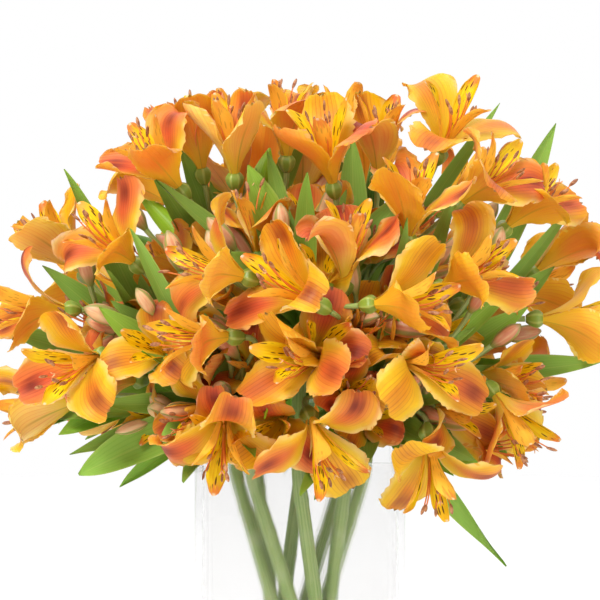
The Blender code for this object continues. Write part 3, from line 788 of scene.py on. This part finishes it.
def petalLine(kind, length, flare, t, curl=0.0, steps=120):
    # the angle from the flower's axis grows evenly from the root's to the flare, and near the apex also
    # by the curl, as a square. Distance out and height are running sums of its sine and cosine
    s = np.linspace(0, 1, steps + 1)
    start = anyPetal["curlFrom"]
    angle = np.radians(kind["rootAngle"] + (flare - kind["rootAngle"]) * s
                       + curl * np.clip((s - start) / (1 - start), 0, 1) ** 2)
    middle = (angle[1:] + angle[:-1]) / 2
    out = anyPetal["out"] + np.concatenate([[0], np.cumsum(np.sin(middle))]) * length / steps
    up = anyPetal["up"] + np.concatenate([[0], np.cumsum(np.cos(middle))]) * length / steps
    return np.interp(t, s, out), np.interp(t, s, up), np.interp(t, s, angle)


def marginWave(draw, t, phases):
    # a slow sine along the petal and half as much of a quick one
    slow = np.sin(draw.uniform(*anyPetal["slowWaves"]) * t + phases[0])
    return slow + 0.5 * np.sin(draw.uniform(*anyPetal["quickWaves"]) * t + phases[1])


def petalSurface(kind, azimuth, length, size, flare, seed):
    # rows run from claw to apex along the petal's line, columns from margin to margin. Each column ends
    # at its own height: an ellipse less a notch, with a point in it and small teeth. Across, the blade is
    # an arc that turns more towards the apex, each margin by its own amount, with a groove on the rib and
    # waved margins
    draw = np.random.default_rng(seed)
    rows, columns = kind["rows"], kind["columns"]
    t = np.linspace(0, 1, rows)[:, None]
    v = np.linspace(-1, 1, columns)[None, :]
    away = np.abs(v)
    top = 1 - kind["shoulder"] * (1 - np.sqrt(1 - 0.97 * away**2))
    top = top - kind["notch"] * np.exp(-((away / 0.2) ** 2)) + kind["point"] * np.exp(-((away / 0.06) ** 2))
    top = top + draw.uniform(-1, 1, (1, kind["teethDrawn"][1]))[:, :columns] * anyPetal["uneven"]
    out, up, angle = petalLine(kind, length, flare, t * top, draw.uniform(*kind["curl"]))
    a = math.radians(azimuth)
    outwards, side = np.array((math.cos(a), math.sin(a), 0)), np.array((-math.sin(a), math.cos(a), 0))
    raised = np.array((0, 0, 1))
    middle = outwards * out[..., None] + raised * up[..., None]
    inner = raised * np.sin(angle)[..., None] - outwards * np.cos(angle)[..., None]
    twist = math.radians(draw.uniform(-anyPetal["twist"], anyPetal["twist"])) * t
    half = kind["width"] * size / 2 * profile(kind["widths"], t)
    jag = 1 + kind["teeth"] * draw.uniform(-1, 1, kind["teethDrawn"])[:rows, :columns] * away**6 * t
    rolls = draw.uniform(*kind["roll"], 2)
    turn = 2 * (kind["channel"] * (1 - t * 0.7) + np.where(v < 0, rolls[0], rolls[1]) * t**2)
    turn = np.where(np.abs(turn) < 0.001, 0.001, turn)  # a flat blade is an arc of hardly any turn
    reach = half * np.sin(turn * v) / turn * jag
    phase = draw.uniform(0, 2 * math.pi, 4)
    left, right = marginWave(draw, t, phase[:2]), marginWave(draw, t, phase[2:])
    wave = np.where(v < 0, left, right) * kind["ruffle"] * away**2.4 * t**1.5
    groove = anyPetal["groove"] * np.exp(-((v / 0.1) ** 2)) * (1 - t**2)
    lift = half * (1 - np.cos(turn * v)) / turn + wave - groove
    aside = side * np.cos(twist)[..., None] + inner * np.sin(twist)[..., None]
    above = inner * np.cos(twist)[..., None] - side * np.sin(twist)[..., None]
    points = middle + aside * reach[..., None] + above * lift[..., None]
    uv = np.stack(np.broadcast_arrays((v + 1) / 2, t * top), -1)
    thick = anyPetal["thickness"] * (1.5 - 0.9 * t) * (1 - 0.5 * away)
    return shell(points, thick, uv, (*draw.uniform(0, 1, 3), 1), kind["look"])


def petalTip(kind, azimuth, length, size, flare):
    # where the solid petal's tip is, whatever its width
    out, up, _ = petalLine(kind, length, flare, 1.0)
    a = math.radians(azimuth)
    return np.array((math.cos(a) * out, math.sin(a) * out, up))


def nearest(places, corners, near=0.00005):
    # the first place that is near a corner of a solid, else the one that is nearest to one, and its
    # distance
    gaps = np.linalg.norm(corners[None] - np.array(places)[:, None], axis=2).min(1)
    first = int(np.argmin(gaps > near)) if (gaps <= near).any() else int(np.argmin(gaps))
    return first, gaps[first]


def cornersOf(node):
    # corners of a solid, in metres
    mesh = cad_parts[node].data
    flat = np.empty(len(mesh.vertices) * 3, np.float32)
    mesh.vertices.foreach_get("co", flat)
    return flat.reshape(-1, 3)


# Stamens, style and ovary. Lengths in mm

heart = {
    "filaments": 6,
    "filamentLength": 41,
    "filamentRadius": 0.5,
    "filamentVary": (0.72, 1.08),
    "droop": 6.0,
    "spread": (4.0, 8.8),
    "rootRing": 0.9,
    "rootSunk": 1,
    "antherLength": 6.4,
    "antherRadius": 0.95,
    "styleLength": 38,
    "styleSpread": (0, 1.5),
    "stigmaArms": 3,
    "armOut": 1.6,
    "armUp": 2.2,
    "armRadii": (0.4, 0.22),
    "ovaryLength": 10,
    "ovary": ((0, 1.9), (0.12, 2.9), (0.45, 4.6), (0.8, 4.7), (1, 3.2)),
}


def varied(what, number, key):
    # a flower's own value, evenly within the range
    low, high = flowerVary[what]
    return low + (high - low) * vary(number, key)


def stamens(number):
    # filaments rise from the ovary, sag as half a sine and spread as a power of their height. Each ends
    # in an anther, a rounded rod that leans its own way, but the last is the style, which ends in short
    # arms
    draw = np.random.default_rng(seeds["stamens"] + number)
    parts = []
    s = np.linspace(0, 1, 14)
    for k in range(heart["filaments"] + 1):
        style = k == heart["filaments"]
        a = 2 * math.pi * (k + draw.uniform(-0.3, 0.3)) / heart["filaments"]
        if style:
            length, spread = heart["styleLength"], draw.uniform(*heart["styleSpread"])
        else:
            length = heart["filamentLength"] * draw.uniform(*heart["filamentVary"])
            spread = draw.uniform(*heart["spread"])
        out = heart["rootRing"] + spread * s**1.7
        sag = -heart["droop"] * np.sin(math.pi * 0.85 * s) * s**0.6 * draw.uniform(0.7, 1.2)
        up = heart["ovaryLength"] - heart["rootSunk"] + length * s
        path = np.stack([math.cos(a) * out, math.sin(a) * out + sag, up], 1)
        mark = (*draw.uniform(0, 1, 3), 1)
        parts.append(tube(path, heart["filamentRadius"] * (1.25 - 0.5 * s), 6, mark, "filament"))
        if style:
            for arm in range(heart["stigmaArms"]):
                b = 2 * math.pi * arm / heart["stigmaArms"] + a
                reach, rise = heart["armOut"], heart["armUp"]
                way = np.array((math.cos(b) * reach, math.sin(b) * reach, rise))
                parts.append(tube(path[-1] + way * np.linspace(0, 1, 5)[:, None],
                                  np.linspace(*heart["armRadii"], 5), 5, mark, "stigma"))
        else:
            lean = unit(path[-1] - path[-3] + draw.uniform(-0.6, 0.6, 3) * 3)
            rod = np.linspace(-0.45, 0.55, 8)
            body = path[-1] + lean * heart["antherLength"] * rod[:, None]
            swell = heart["antherRadius"] * np.sqrt(np.clip(1 - (2 * (rod - 0.05)) ** 2, 0.06, 1))
            parts.append(tube(body, swell, 8, mark, "anther", 2, 0.22))
    return parts


def ovary(number):
    # a ribbed cup: its radius follows a profile along the axis, with six ribs as a cosine round it
    t = np.linspace(0, 1, 13)
    path = np.stack([np.zeros(13), np.zeros(13), heart["ovaryLength"] * t], 1)
    mark = (vary(number, 3), vary(number, 4), 0, 1)
    return tube(path, profile(heart["ovary"], t), 24, mark, "ovary", heartLooks["ovary"]["ribs"], 0.08)


def flowerFrame(place, axis):
    # rows are the flower's own across, upper and axis directions
    outward = unit(np.array((place[0], place[1], 0.0)))
    upper = np.array((0, 0, 1.0)) - outward * 0.35
    upper = unit(upper - axis * upper.dot(axis))
    return np.stack([np.cross(upper, axis), upper, axis])


def moved(parts, place=0.0, own=np.eye(3), scale=mm):
    # parts turned from a flower's own frame, scaled and shifted
    for part in parts:
        part["points"] = part["points"] @ own * scale + place
    return parts


def addFlowers():
    # each open flower has the petals' bends that its solid has, found by where the petals' tips are
    number, worst = 0, 0.0
    for stem in stems.values():
        for *spot, azimuth, elevation, outerOpen, innerOpen in stem["flowers"]:
            number += 1
            node = f"flower_{number:02d}"
            place, own = np.array(spot) * mm, flowerFrame(spot, direction(azimuth, elevation))
            size = varied("size", number, 1)
            corners = cornersOf(node)
            parts = [ovary(number)] + stamens(number)
            for kind, openness in ((innerPetal, innerOpen), (outerPetal, outerOpen)):
                for k, around in enumerate(kind["azimuths"]):
                    flare = kind["flare"] * openness * varied("flare", number, 20 + k)
                    around = around + varied("around", number, 10 + k)
                    tries = [(around + turn, kind["length"] * size * share, size * (0.4 + 0.6 * share),
                              max(5, flare + change)) for change, turn, share in petalBends]
                    tips = [petalTip(kind, *bent) @ own * mm + place for bent in tries]
                    chosen, gap = nearest(tips, corners)
                    worst = max(worst, gap)
                    parts.append(petalSurface(kind, *tries[chosen], number * 10 + k + len(kind["look"])))
            addPiece(f"bloom_{number:02d}", moved(parts, place, own), (node,))
    print("flowers:", number, "furthest petal tip from its solid, mm:", round(worst * 1000, 3))


addFlowers()


# Stems, stalks, buds and leaves. Lengths in mm

stemShape = {
    "footRadius": 4.7,
    "topRadius": 3.7,
    "sides": 16,
    "rows": (60, 24),  # on its straight part and on its curve
    "joints": 55,  # from one leaf joint to the next
    "jointShift": 11,  # from one stem to the next
    "jointSwell": 0.1,
    "jointWidth": 2.5,
    "head": ((0.4, 0.75), (0.8, 0.95), (1.2, 0.98), (1.6, 0.8), (1.8, 0.5)),  # heights, radii
    "stalkRadius": 1.35,
    "stalkSides": 8,
    "clearance": 0.3,
}
budShape = {
    "length": 27,
    "radius": 5.4,
    "profile": ((0, 0.34), (0.08, 0.5), (0.3, 0.95), (0.5, 1.04), (0.68, 1.0), (0.86, 0.66), (1, 0.14)),
    "sides": 24,
    "rows": 22,
    "ribs": 3,
    "ribDepth": 0.07,
    "ribTurn": 1.2,
}
leafShape = {
    "thickness": 0.8,
    "widths": ((0, 0.2), (0.12, 0.5), (0.34, 0.96), (0.52, 1.0), (0.72, 0.78), (0.88, 0.4), (1, 0.03)),
    "channel": 0.5,
    "crease": 0.25,
    "wave": 0.06,
    "waves": (7, 12),
    "frontTo": 20,  # leaves whose tips are further back look backwards
    "rows": 25,
    "columns": 7,
}

# how a leaf was bent clear: shift of its tip across and up, and share of its length
leafBends = (
    (0, 0, 1), (0.08, 0, 1), (-0.08, 0, 1), (0, 0.08, 1), (0, -0.08, 1), (0.14, 0.08, 1), (-0.14, 0.08, 1),
    (0.14, -0.08, 1), (-0.14, -0.08, 1), (0.22, 0, 1), (-0.22, 0, 1), (0, 0.2, 1), (0, -0.2, 1),
    (0.3, 0.14, 0.95), (-0.3, 0.14, 0.95), (0.3, -0.14, 0.95), (-0.3, -0.14, 0.95), (0, 0, 0.7),
    (0.1, 0.1, 0.7), (-0.1, 0.1, 0.7), (0.1, -0.1, 0.7), (-0.1, -0.1, 0.7), (0, 0, 0.5),
)


def stemLine(order):
    # corners of a stem: straight from the vase's floor to its rim, then a curve out to the umbel
    rimAzimuth = bunch["rimStep"] * order
    *facing, far = list(stems.values())[order]["umbel"]
    out = direction(*facing)
    foot = direction(rimAzimuth + bunch["spiralTurn"], 0) * bunch["footCircle"]
    foot[2] = bunch["footHeight"]
    rim = direction(rimAzimuth, 0) * bunch["rimCircle"]
    rim[2] = bunch["rimHeight"]
    top = domeCentre + out * far
    return out, foot, (rim, rim + unit(rim - foot) * bunch["straightOn"], top - out * bunch["topPull"], top)


def ringRoots(centre, out, ends, ring):
    # places evenly spaced on a ring round the umbel, in the order in which what grows there spreads
    across = np.array(Vector(out).orthogonal().normalized())
    beside = np.cross(out, across)
    angles = [math.atan2((end - centre).dot(beside), (end - centre).dot(across)) for end in ends]
    ranks = {k: rank for rank, k in enumerate(sorted(range(len(ends)), key=angles.__getitem__))}
    step = 2 * math.pi / len(ends)
    shift = math.atan2(sum(math.sin(angles[k] - ranks[k] * step) for k in ranks),
                       sum(math.cos(angles[k] - ranks[k] * step) for k in ranks))
    return [centre + (across * math.cos(ranks[k] * step + shift)
                      + beside * math.sin(ranks[k] * step + shift)) * ring for k in range(len(ends))]


def stalk(root, out, end, heading, samples, swelling):
    # a flower stalk from the umbel to the ovary's foot, arching over where the flower nods, and thicker at
    # both ends by powers of its length
    reach = np.linalg.norm(end - root)
    first = unit(out * 0.7 + unit(end - root))
    s = np.linspace(0, 1, samples)
    path = bezier((root, root + first * reach * 0.4, end - heading * reach * 0.35, end), s)
    radii = stemShape["stalkRadius"] * (1 + swelling * (0.35 * (1 - s) ** 6 + 0.3 * s**10))
    return tube(path, radii, stemShape["stalkSides"], (0.5, 0.5, 0.5, 1), "stem")


def bud(shape, foot, heading, size, mark):
    # a rod whose radius follows a profile, with ribs as a cosine round it that turn a little as they rise
    s = np.linspace(0, 1, shape["rows"])
    return tube(foot + heading * shape["length"] * size * s[:, None],
                shape["radius"] * size * profile(shape["profile"], s), shape["sides"], mark, "bud",
                shape["ribs"], shape["ribDepth"], shape["ribTurn"])


def leafSurface(root, tip, lead, width, twist, seed):
    # rows run along a cubic curve from root to tip, columns from margin to margin. The blade turns evenly
    # about its own line, its margins rise as the square of the distance across and wave a little
    draw = np.random.default_rng(seed)
    shape = leafShape
    t = np.linspace(0, 1, shape["rows"])
    v = np.linspace(-1, 1, shape["columns"])[None, :]
    reach = np.linalg.norm(tip - root)
    control = (root, root + lead * reach * 0.45, tip - (tip - root - lead * reach * 0.3) * 0.3, tip)
    middle = bezier(control, t)
    along = unit(np.gradient(middle, axis=0))
    outlook = np.array((0, -1 if tip[1] < shape["frontTo"] else 1, 0.5))
    side = turned(unit(np.cross(outlook, along)), along, np.radians(twist) * t)
    upper = np.cross(along, side)
    half = (width / 2 * profile(shape["widths"], t))[:, None]
    t = t[:, None]
    left, right = (np.sin(t * draw.uniform(*shape["waves"]) + draw.uniform(0, 6)) for _ in range(2))
    lift = half * shape["channel"] * v**2 + width * shape["wave"] * np.where(v < 0, left, right) * v**2 * t
    lift = lift - shape["crease"] * np.exp(-(v / 0.15) ** 2)
    points = middle[:, None] + side[:, None] * (half * v)[..., None] + upper[:, None] * lift[..., None]
    uv = np.stack(np.broadcast_arrays((v + 1) / 2, t), -1)
    mark = (draw.uniform(0, 1) ** 2, draw.uniform(0, 1), draw.uniform(0, 1), 1)
    thick = shape["thickness"] * (1 - 0.6 * np.abs(v)) * np.ones_like(half)
    # the face that looks outwards is the upper one
    return shell(points[:, ::-1], thick, uv[:, ::-1], mark, "leaf")


def leafOf(spot, width, twist, base, out, corners, seed):
    # the bend that the solid leaf has is the one whose tip is a corner of the solid
    reach = np.array(spot, float) - base
    across = np.cross(reach, (0, 0, 1))
    rise = np.array((0, 0, np.linalg.norm(reach)))
    tips = [base + (reach + across * aside + rise * lift) * share for aside, lift, share in leafBends]
    chosen, gap = nearest(np.array(tips) * mm, corners)
    tip = tips[chosen]
    return leafSurface(base, tip, unit(out * 0.4 + unit(tip - base)), width, twist, seed), gap


# What grows inside the bunch. Lengths in mm

innerLeaves = {
    "count": 110,
    "lowest": -0.38,  # sine of the lowest elevation that they point to
    "turn": 0,
    "reach": (70, 120),  # from the dome's middle to their tips, at the front
    "width": (10, 20),
    "twist": (-30, 40),
    "rootDrop": (6, 34),
}
innerBlooms = {
    "count": 70,
    "lowest": -0.22,
    "turn": 60,
    "reach": (58, 86),  # to their ovaries
    "rootDrop": (4, 24),
    "tilt": 0.35,
    "size": (0.7, 0.92),
    "openness": (0.3, 0.9),
    "around": (-8, 8),
    "coarse": {"rows": 14, "columns": 9, "teethDrawn": (18, 11)},
    "stamensOn": 3,  # every third flower has stamens, and every second one buds beside it
    "budsOn": 2,
    "buds": 3,
    "budReach": 82,
    "budAside": 12,
    "budTilt": 0.7,
    "budSize": (0.8, 1.2),
    "bud": budShape | {"rows": 16, "sides": 16, "radius": 4.32, "ribDepth": 0.1},
}


def domeSwell(way):
    # the dome is wider and taller than it is deep: 1 towards the front and back, more to the sides and top
    return 1 + bunch["domeSwell"] * (1 - abs(way[1]))


def innerWays(shape, order, draw):
    # the golden angle spreads what grows inside over a sphere, from its lowest elevation up, and each piece
    # grows from the stem whose umbel points nearest to its own way, a little below the umbel
    ways = np.array([direction(*stem["umbel"][:2]) for stem in stems.values()])
    curve = stemLine(order)[2]
    line = unit(bezier(curve, [bunch["innerBend"]])[0] - curve[3])
    for k in range(shape["count"]):
        rise = shape["lowest"] + (1 - shape["lowest"]) * (k + 0.5) / shape["count"]
        way = direction(k * bunch["goldenAngle"] + shape["turn"], math.degrees(math.asin(rise)))
        if int(np.argmax(ways @ way)) == order:
            root = curve[3] + line * draw.uniform(*shape["rootDrop"])
            yield k, way, line, root, domeCentre + way * draw.uniform(*shape["reach"]) * domeSwell(way)


def innerLeavesOf(order):
    # leaves low on the upper stems, inside the flowers
    shape, draw = innerLeaves, np.random.default_rng(seeds["innerLeaves"] + order)
    return [leafSurface(root, tip, unit(-line * 0.8 + unit(tip - root)), draw.uniform(*shape["width"]),
                        draw.uniform(*shape["twist"]), seeds["innerLeaf"] + k)
            for k, _, line, root, tip in innerWays(shape, order, draw)]


def innerBloomsOf(order):
    # late flowers deep in the bunch, each on its stalk, some with buds beside them
    shape, draw = innerBlooms, np.random.default_rng(seeds["innerBlooms"] + order)
    parts = []
    for k, way, line, root, foot in innerWays(shape, order, draw):
        heading = unit(way + draw.uniform(-shape["tilt"], shape["tilt"], 3))
        own, size = flowerFrame(way, heading), draw.uniform(*shape["size"])
        bloom = [ovary(100 + k)] + (stamens(100 + k) if k % shape["stamensOn"] == 0 else [])
        for kind in (innerPetal, outerPetal):
            for azimuth in kind["azimuths"]:
                flare = kind["flare"] * draw.uniform(*shape["openness"])
                azimuth = azimuth + draw.uniform(*shape["around"])
                seed = seeds["innerPetal"] + 10 * k + len(bloom)
                bloom.append(petalSurface(
                    kind | shape["coarse"], azimuth, kind["length"] * size, size, flare, seed))
        parts += moved(bloom, foot, own, 1)
        parts.append(stalk(root, -line, foot, heading, 12, 0))
        for _ in range(shape["buds"] * (k % shape["budsOn"])):
            way = unit(heading + draw.uniform(-shape["budTilt"], shape["budTilt"], 3))
            aside = unit(foot - domeCentre + way * shape["budAside"])
            foot = domeCentre + aside * shape["budReach"] * domeSwell(way)
            size = draw.uniform(*shape["budSize"])
            parts += [stalk(root, -line, foot, way, 12, 0),
                      bud(shape["bud"], foot, way, size, (*draw.uniform(0, 1, 2), 0, 1))]
    return parts


def addStems():
    # a stem narrows evenly from its foot, swells as a bell curve at its joints and ends in the umbel's
    # head, on which stalks, buds and leaves stand in rings
    shape, worst = stemShape, 0.0
    for order, (name, stem) in enumerate(stems.items()):
        out, foot, curve = stemLine(order)
        top, radius = curve[3], bunch["umbelRadius"]
        low, high = shape["rows"]
        straight = foot + (curve[0] - foot) * np.linspace(0, 1, low, endpoint=False)[:, None]
        path = np.concatenate([straight, bezier(curve, np.linspace(0, 1, high))])
        far = np.concatenate([[0], np.cumsum(np.linalg.norm(np.diff(path, axis=0), axis=1))])
        joint = np.abs((far + shape["jointShift"] * order) % shape["joints"] - shape["joints"] / 2)
        radii = shape["footRadius"] + (shape["topRadius"] - shape["footRadius"]) * far / far[-1]
        radii = radii * (1 + shape["jointSwell"] * np.exp(-((joint / shape["jointWidth"]) ** 2)))
        heights, widths = np.array(shape["head"]).T
        path = np.concatenate([path, top + out * radius * heights[:, None]])
        radii = np.concatenate([radii, radius * widths])
        parts = [tube(path, radii, shape["sides"], (0.5, 0.5, 0.5, 1), "stem")]
        feet = [(np.array(row[:3], float), direction(*row[3:5]), 0) for row in stem["flowers"]]
        feet += [(np.array(row[:3], float), direction(*row[3:5]), row[5]) for row in stem["buds"]]
        starts = ringRoots(top + out * radius * 0.6, out, [foot for foot, _, _ in feet], bunch["stalkRing"])
        for k, ((foot, heading, size), start) in enumerate(zip(feet, starts)):
            end = foot if size else foot - heading * shape["clearance"]
            parts.append(stalk(start, out, end, heading, 18, 1))
            if size:
                mark = (vary(order, 30 + k), vary(order, 40 + k), 0, 1)
                parts.append(bud(budShape, foot, heading, size, mark))
        whorl = top + unit(bezier(curve, [bunch["leafBend"]])[0] - top) * bunch["leafDrop"]
        tips = [np.array(row[:3], float) for row in stem["leaves"]]
        bases = ringRoots(whorl, out, tips, bunch["leafRing"])
        corners = cornersOf("stem_" + name)
        for k, ((*spot, width, twist), base) in enumerate(zip(stem["leaves"], bases)):
            leaf, gap = leafOf(spot, width, twist, base, out, corners, seeds["leaf"] + 40 * order + k)
            parts.append(leaf)
            worst = max(worst, gap)
        addPiece("green_" + name, moved(parts + innerLeavesOf(order)), ("stem_" + name,))
    print("stems:", len(stems), "furthest leaf tip from its solid, mm:", round(worst * 1000, 3))


def addInnerBlooms():
    # one piece for each stem that they grow from
    for order, name in enumerate(stems):
        addPiece("inner_" + name, moved(innerBloomsOf(order)))
    print("inner flowers:", innerBlooms["count"])


addStems()
addInnerBlooms()


# Vase and water. Lengths in mm

vaseShape = {
    "width": 120,
    "height": 218,
    "wall": 4,
    "floor": 10,
    "corner": 7,
    "insideCorner": 5,
    "rimRound": 1.3,
    "floorRound": 2.5,
    "floorFlat": 4,  # from the wall inwards, where the floor is flat
    "cornerPoints": 7,
    "sectionPoints": 5,
    "flatFrom": 1.5,  # from the end of a corner's arc
    "water": 108,
    "meniscus": 1.2,
    "squeeze": 0.05,  # that the water reaches into the glass
}


def roundedSquare(half, corner):
    # points round a square whose corners are arcs, anticlockwise from above. A point a little way along
    # each side from an arc keeps the flat sides flat in the shading
    turns = np.arange(4)[:, None] * math.pi / 2
    arc = turns + np.linspace(0, math.pi / 2, vaseShape["cornerPoints"])[None, :]
    middle = turns + math.pi / 4
    middles = (half - corner) * math.sqrt(2) * np.stack([np.cos(middle), np.sin(middle)], -1)
    ring = middles + corner * np.stack([np.cos(arc), np.sin(arc)], -1)
    tangent = vaseShape["flatFrom"] * np.stack([-np.sin(arc), np.cos(arc)], -1)
    ring = np.concatenate([ring[:, :1] - tangent[:, :1], ring, ring[:, -1:] + tangent[:, -1:]], 1)
    return ring.reshape(-1, 2)


def arcRows(half, height, radius, corner, start, end):
    # rows on an arc of the wall's section, its angles in degrees from straight outwards
    return [(half + radius * math.cos(a), corner, height + radius * math.sin(a))
            for a in np.radians(np.linspace(start, end, vaseShape["sectionPoints"]))]


def addClear(name, look, node, rows):
    # closed skin through rounded squares, each row given as half width, corner radius and height
    rings = []
    for half, corner, height in rows:
        ring = roundedSquare(half, corner)
        rings.append(np.column_stack([ring, np.full(len(ring), height)]))
    addPiece(name, [ringed(np.array(rings) * mm, (0, 0, 0, 1), look)], (node,))


def addVase():
    # up the outside, over the rim and down the inside to its floor
    s = vaseShape
    outer, inner, r, bend = s["width"] / 2, s["width"] / 2 - s["wall"], s["rimRound"], s["floorRound"]
    top, corner, inside, flat = s["height"], s["corner"], s["insideCorner"], s["floorFlat"]
    addClear("glass_vase", "glass", "vase", [
        (outer - 2 * r, corner - r, 0), *arcRows(outer - r, r, r, corner, -90, 0), (outer, corner, 2 * r),
        (outer, corner, top - 2 * r), *arcRows(outer - r, top - r, r, corner, 0, 90),
        *arcRows(inner + r, top - r, r, inside, 90, 180), (inner, inside, top - 2 * r),
        (inner, inside, s["floor"] + flat), *arcRows(inner - bend, s["floor"] + bend, bend, inside, 0, -90),
        (inner - flat, inside, s["floor"])])


def addWater():
    # fills the vase against its walls, its edge drawn up the glass a little
    s = vaseShape
    inner, bend, flat = s["width"] / 2 - s["wall"] + s["squeeze"], s["floorRound"], s["floorFlat"]
    inside, level, low = s["insideCorner"], s["water"], s["floor"] - 0.1
    addClear("vase_water", "water", "water", [
        (inner - flat, inside, low), *arcRows(inner - bend, low + bend, bend, inside, -90, 0),
        (inner, inside, s["floor"] + flat), (inner, inside, level - 1.5), (inner, inside, level),
        (inner - 0.4, inside - 0.2, level - 0.1), (inner - flat, inside / 2, level - s["meniscus"])])


addVase()
addWater()
print("vase and water made")


# Stage: floor, lights, world and camera. Metres and watts

stage = {
    "floorRings": (0.02, 0.2, 0.6, 1.2, 2.0),
    "floorSides": 64,
    "floor": {"first": "#EFEFEF", "second": "#E9E9E9"},
    "world": 0.4,
    "lampAim": (0, 0, 0.28),
    "cameraDistance": 1.0,
    "cameraHeight": 0.31,
    "pictureWidth": 0.36,  # across the picture at the bunch
}
lamps = {
    "key": {"power": 42.0, "size": 0.9, "place": (-0.8, -1.4, 1.7)},
    "fill": {"power": 9.0, "size": 1.2, "place": (1.0, -1.5, 0.45)},
    "roof": {"power": 92.0, "size": 5.0, "place": (0, 1.1, 2.4)},
}


def addFloor():
    # a flat disc: rings of points from the middle outwards
    sides, radii = stage["floorSides"], np.array(stage["floorRings"])[:, None]
    ring = np.linspace(0, 2 * math.pi, sides, endpoint=False)
    points = np.stack(np.broadcast_arrays(radii * np.cos(ring), radii * np.sin(ring), 0.0), -1)
    index = np.arange(len(radii) * sides).reshape(-1, sides)
    cells = quadsOf(np.concatenate([index, index[:, :1]], 1))
    mesh = bpy.data.meshes.new("floor")
    mesh.from_pydata(points.reshape(-1, 3), [], [*cells.tolist(), index[0].tolist()])
    p = Paint("floorPale", stage["floor"], Roughness=0.7)
    mesh.materials.append(p.finish(p.mix(p.noise(p.objectPlace(), 8.0) * 0.3, "first", "second")))
    linked("floor", mesh)


def addLamps():
    # square lamps turned to the bunch
    for name, shape in lamps.items():
        lamp = bpy.data.lights.new(name, "AREA")
        lamp.size, lamp.energy = shape["size"], shape["power"]
        light = linked(name, lamp)
        light.location = shape["place"]
        aim = Vector(stage["lampAim"]) - light.location
        light.rotation_euler = aim.to_track_quat("-Z", "Y").to_euler()


def addWorld():
    # white to the camera, also through the glass, and less as a light
    world = bpy.data.worlds.new("studio")
    bpy.context.scene.world = world
    world.use_nodes = True
    tree = world.node_tree
    light = tree.nodes["Background"]
    white, path, seen, either = (tree.nodes.new("ShaderNode" + kind)
                                 for kind in ("Background", "LightPath", "Math", "MixShader"))
    for background, strength in ((light, stage["world"]), (white, 1.0)):
        background.inputs["Color"].default_value = (1, 1, 1, 1)
        background.inputs["Strength"].default_value = strength
    seen.operation = "MAXIMUM"
    for output, socket in (
            (path.outputs["Is Camera Ray"], seen.inputs[0]),
            (path.outputs["Is Transmission Ray"], seen.inputs[1]),
            (seen.outputs[0], either.inputs[0]), (light.outputs[0], either.inputs[1]),
            (white.outputs[0], either.inputs[2]),
            (either.outputs[0], tree.nodes["World Output"].inputs["Surface"])):
        tree.links.new(output, socket)


def addCamera():
    # level with the flowers, its lens as long as the picture's width asks
    lens = bpy.data.cameras.new("camera")
    lens.sensor_width = 36
    lens.lens = lens.sensor_width * stage["cameraDistance"] / stage["pictureWidth"]
    lens.clip_start = 0.01
    camera = linked("camera", lens)
    camera.location = (0, -stage["cameraDistance"], stage["cameraHeight"])
    camera.rotation_euler = (math.radians(90), 0, 0)
    bpy.context.scene.camera = camera


addFloor()
addLamps()
addWorld()
addCamera()
bpy.context.scene.view_settings.view_transform = "Standard"
print("stage set")
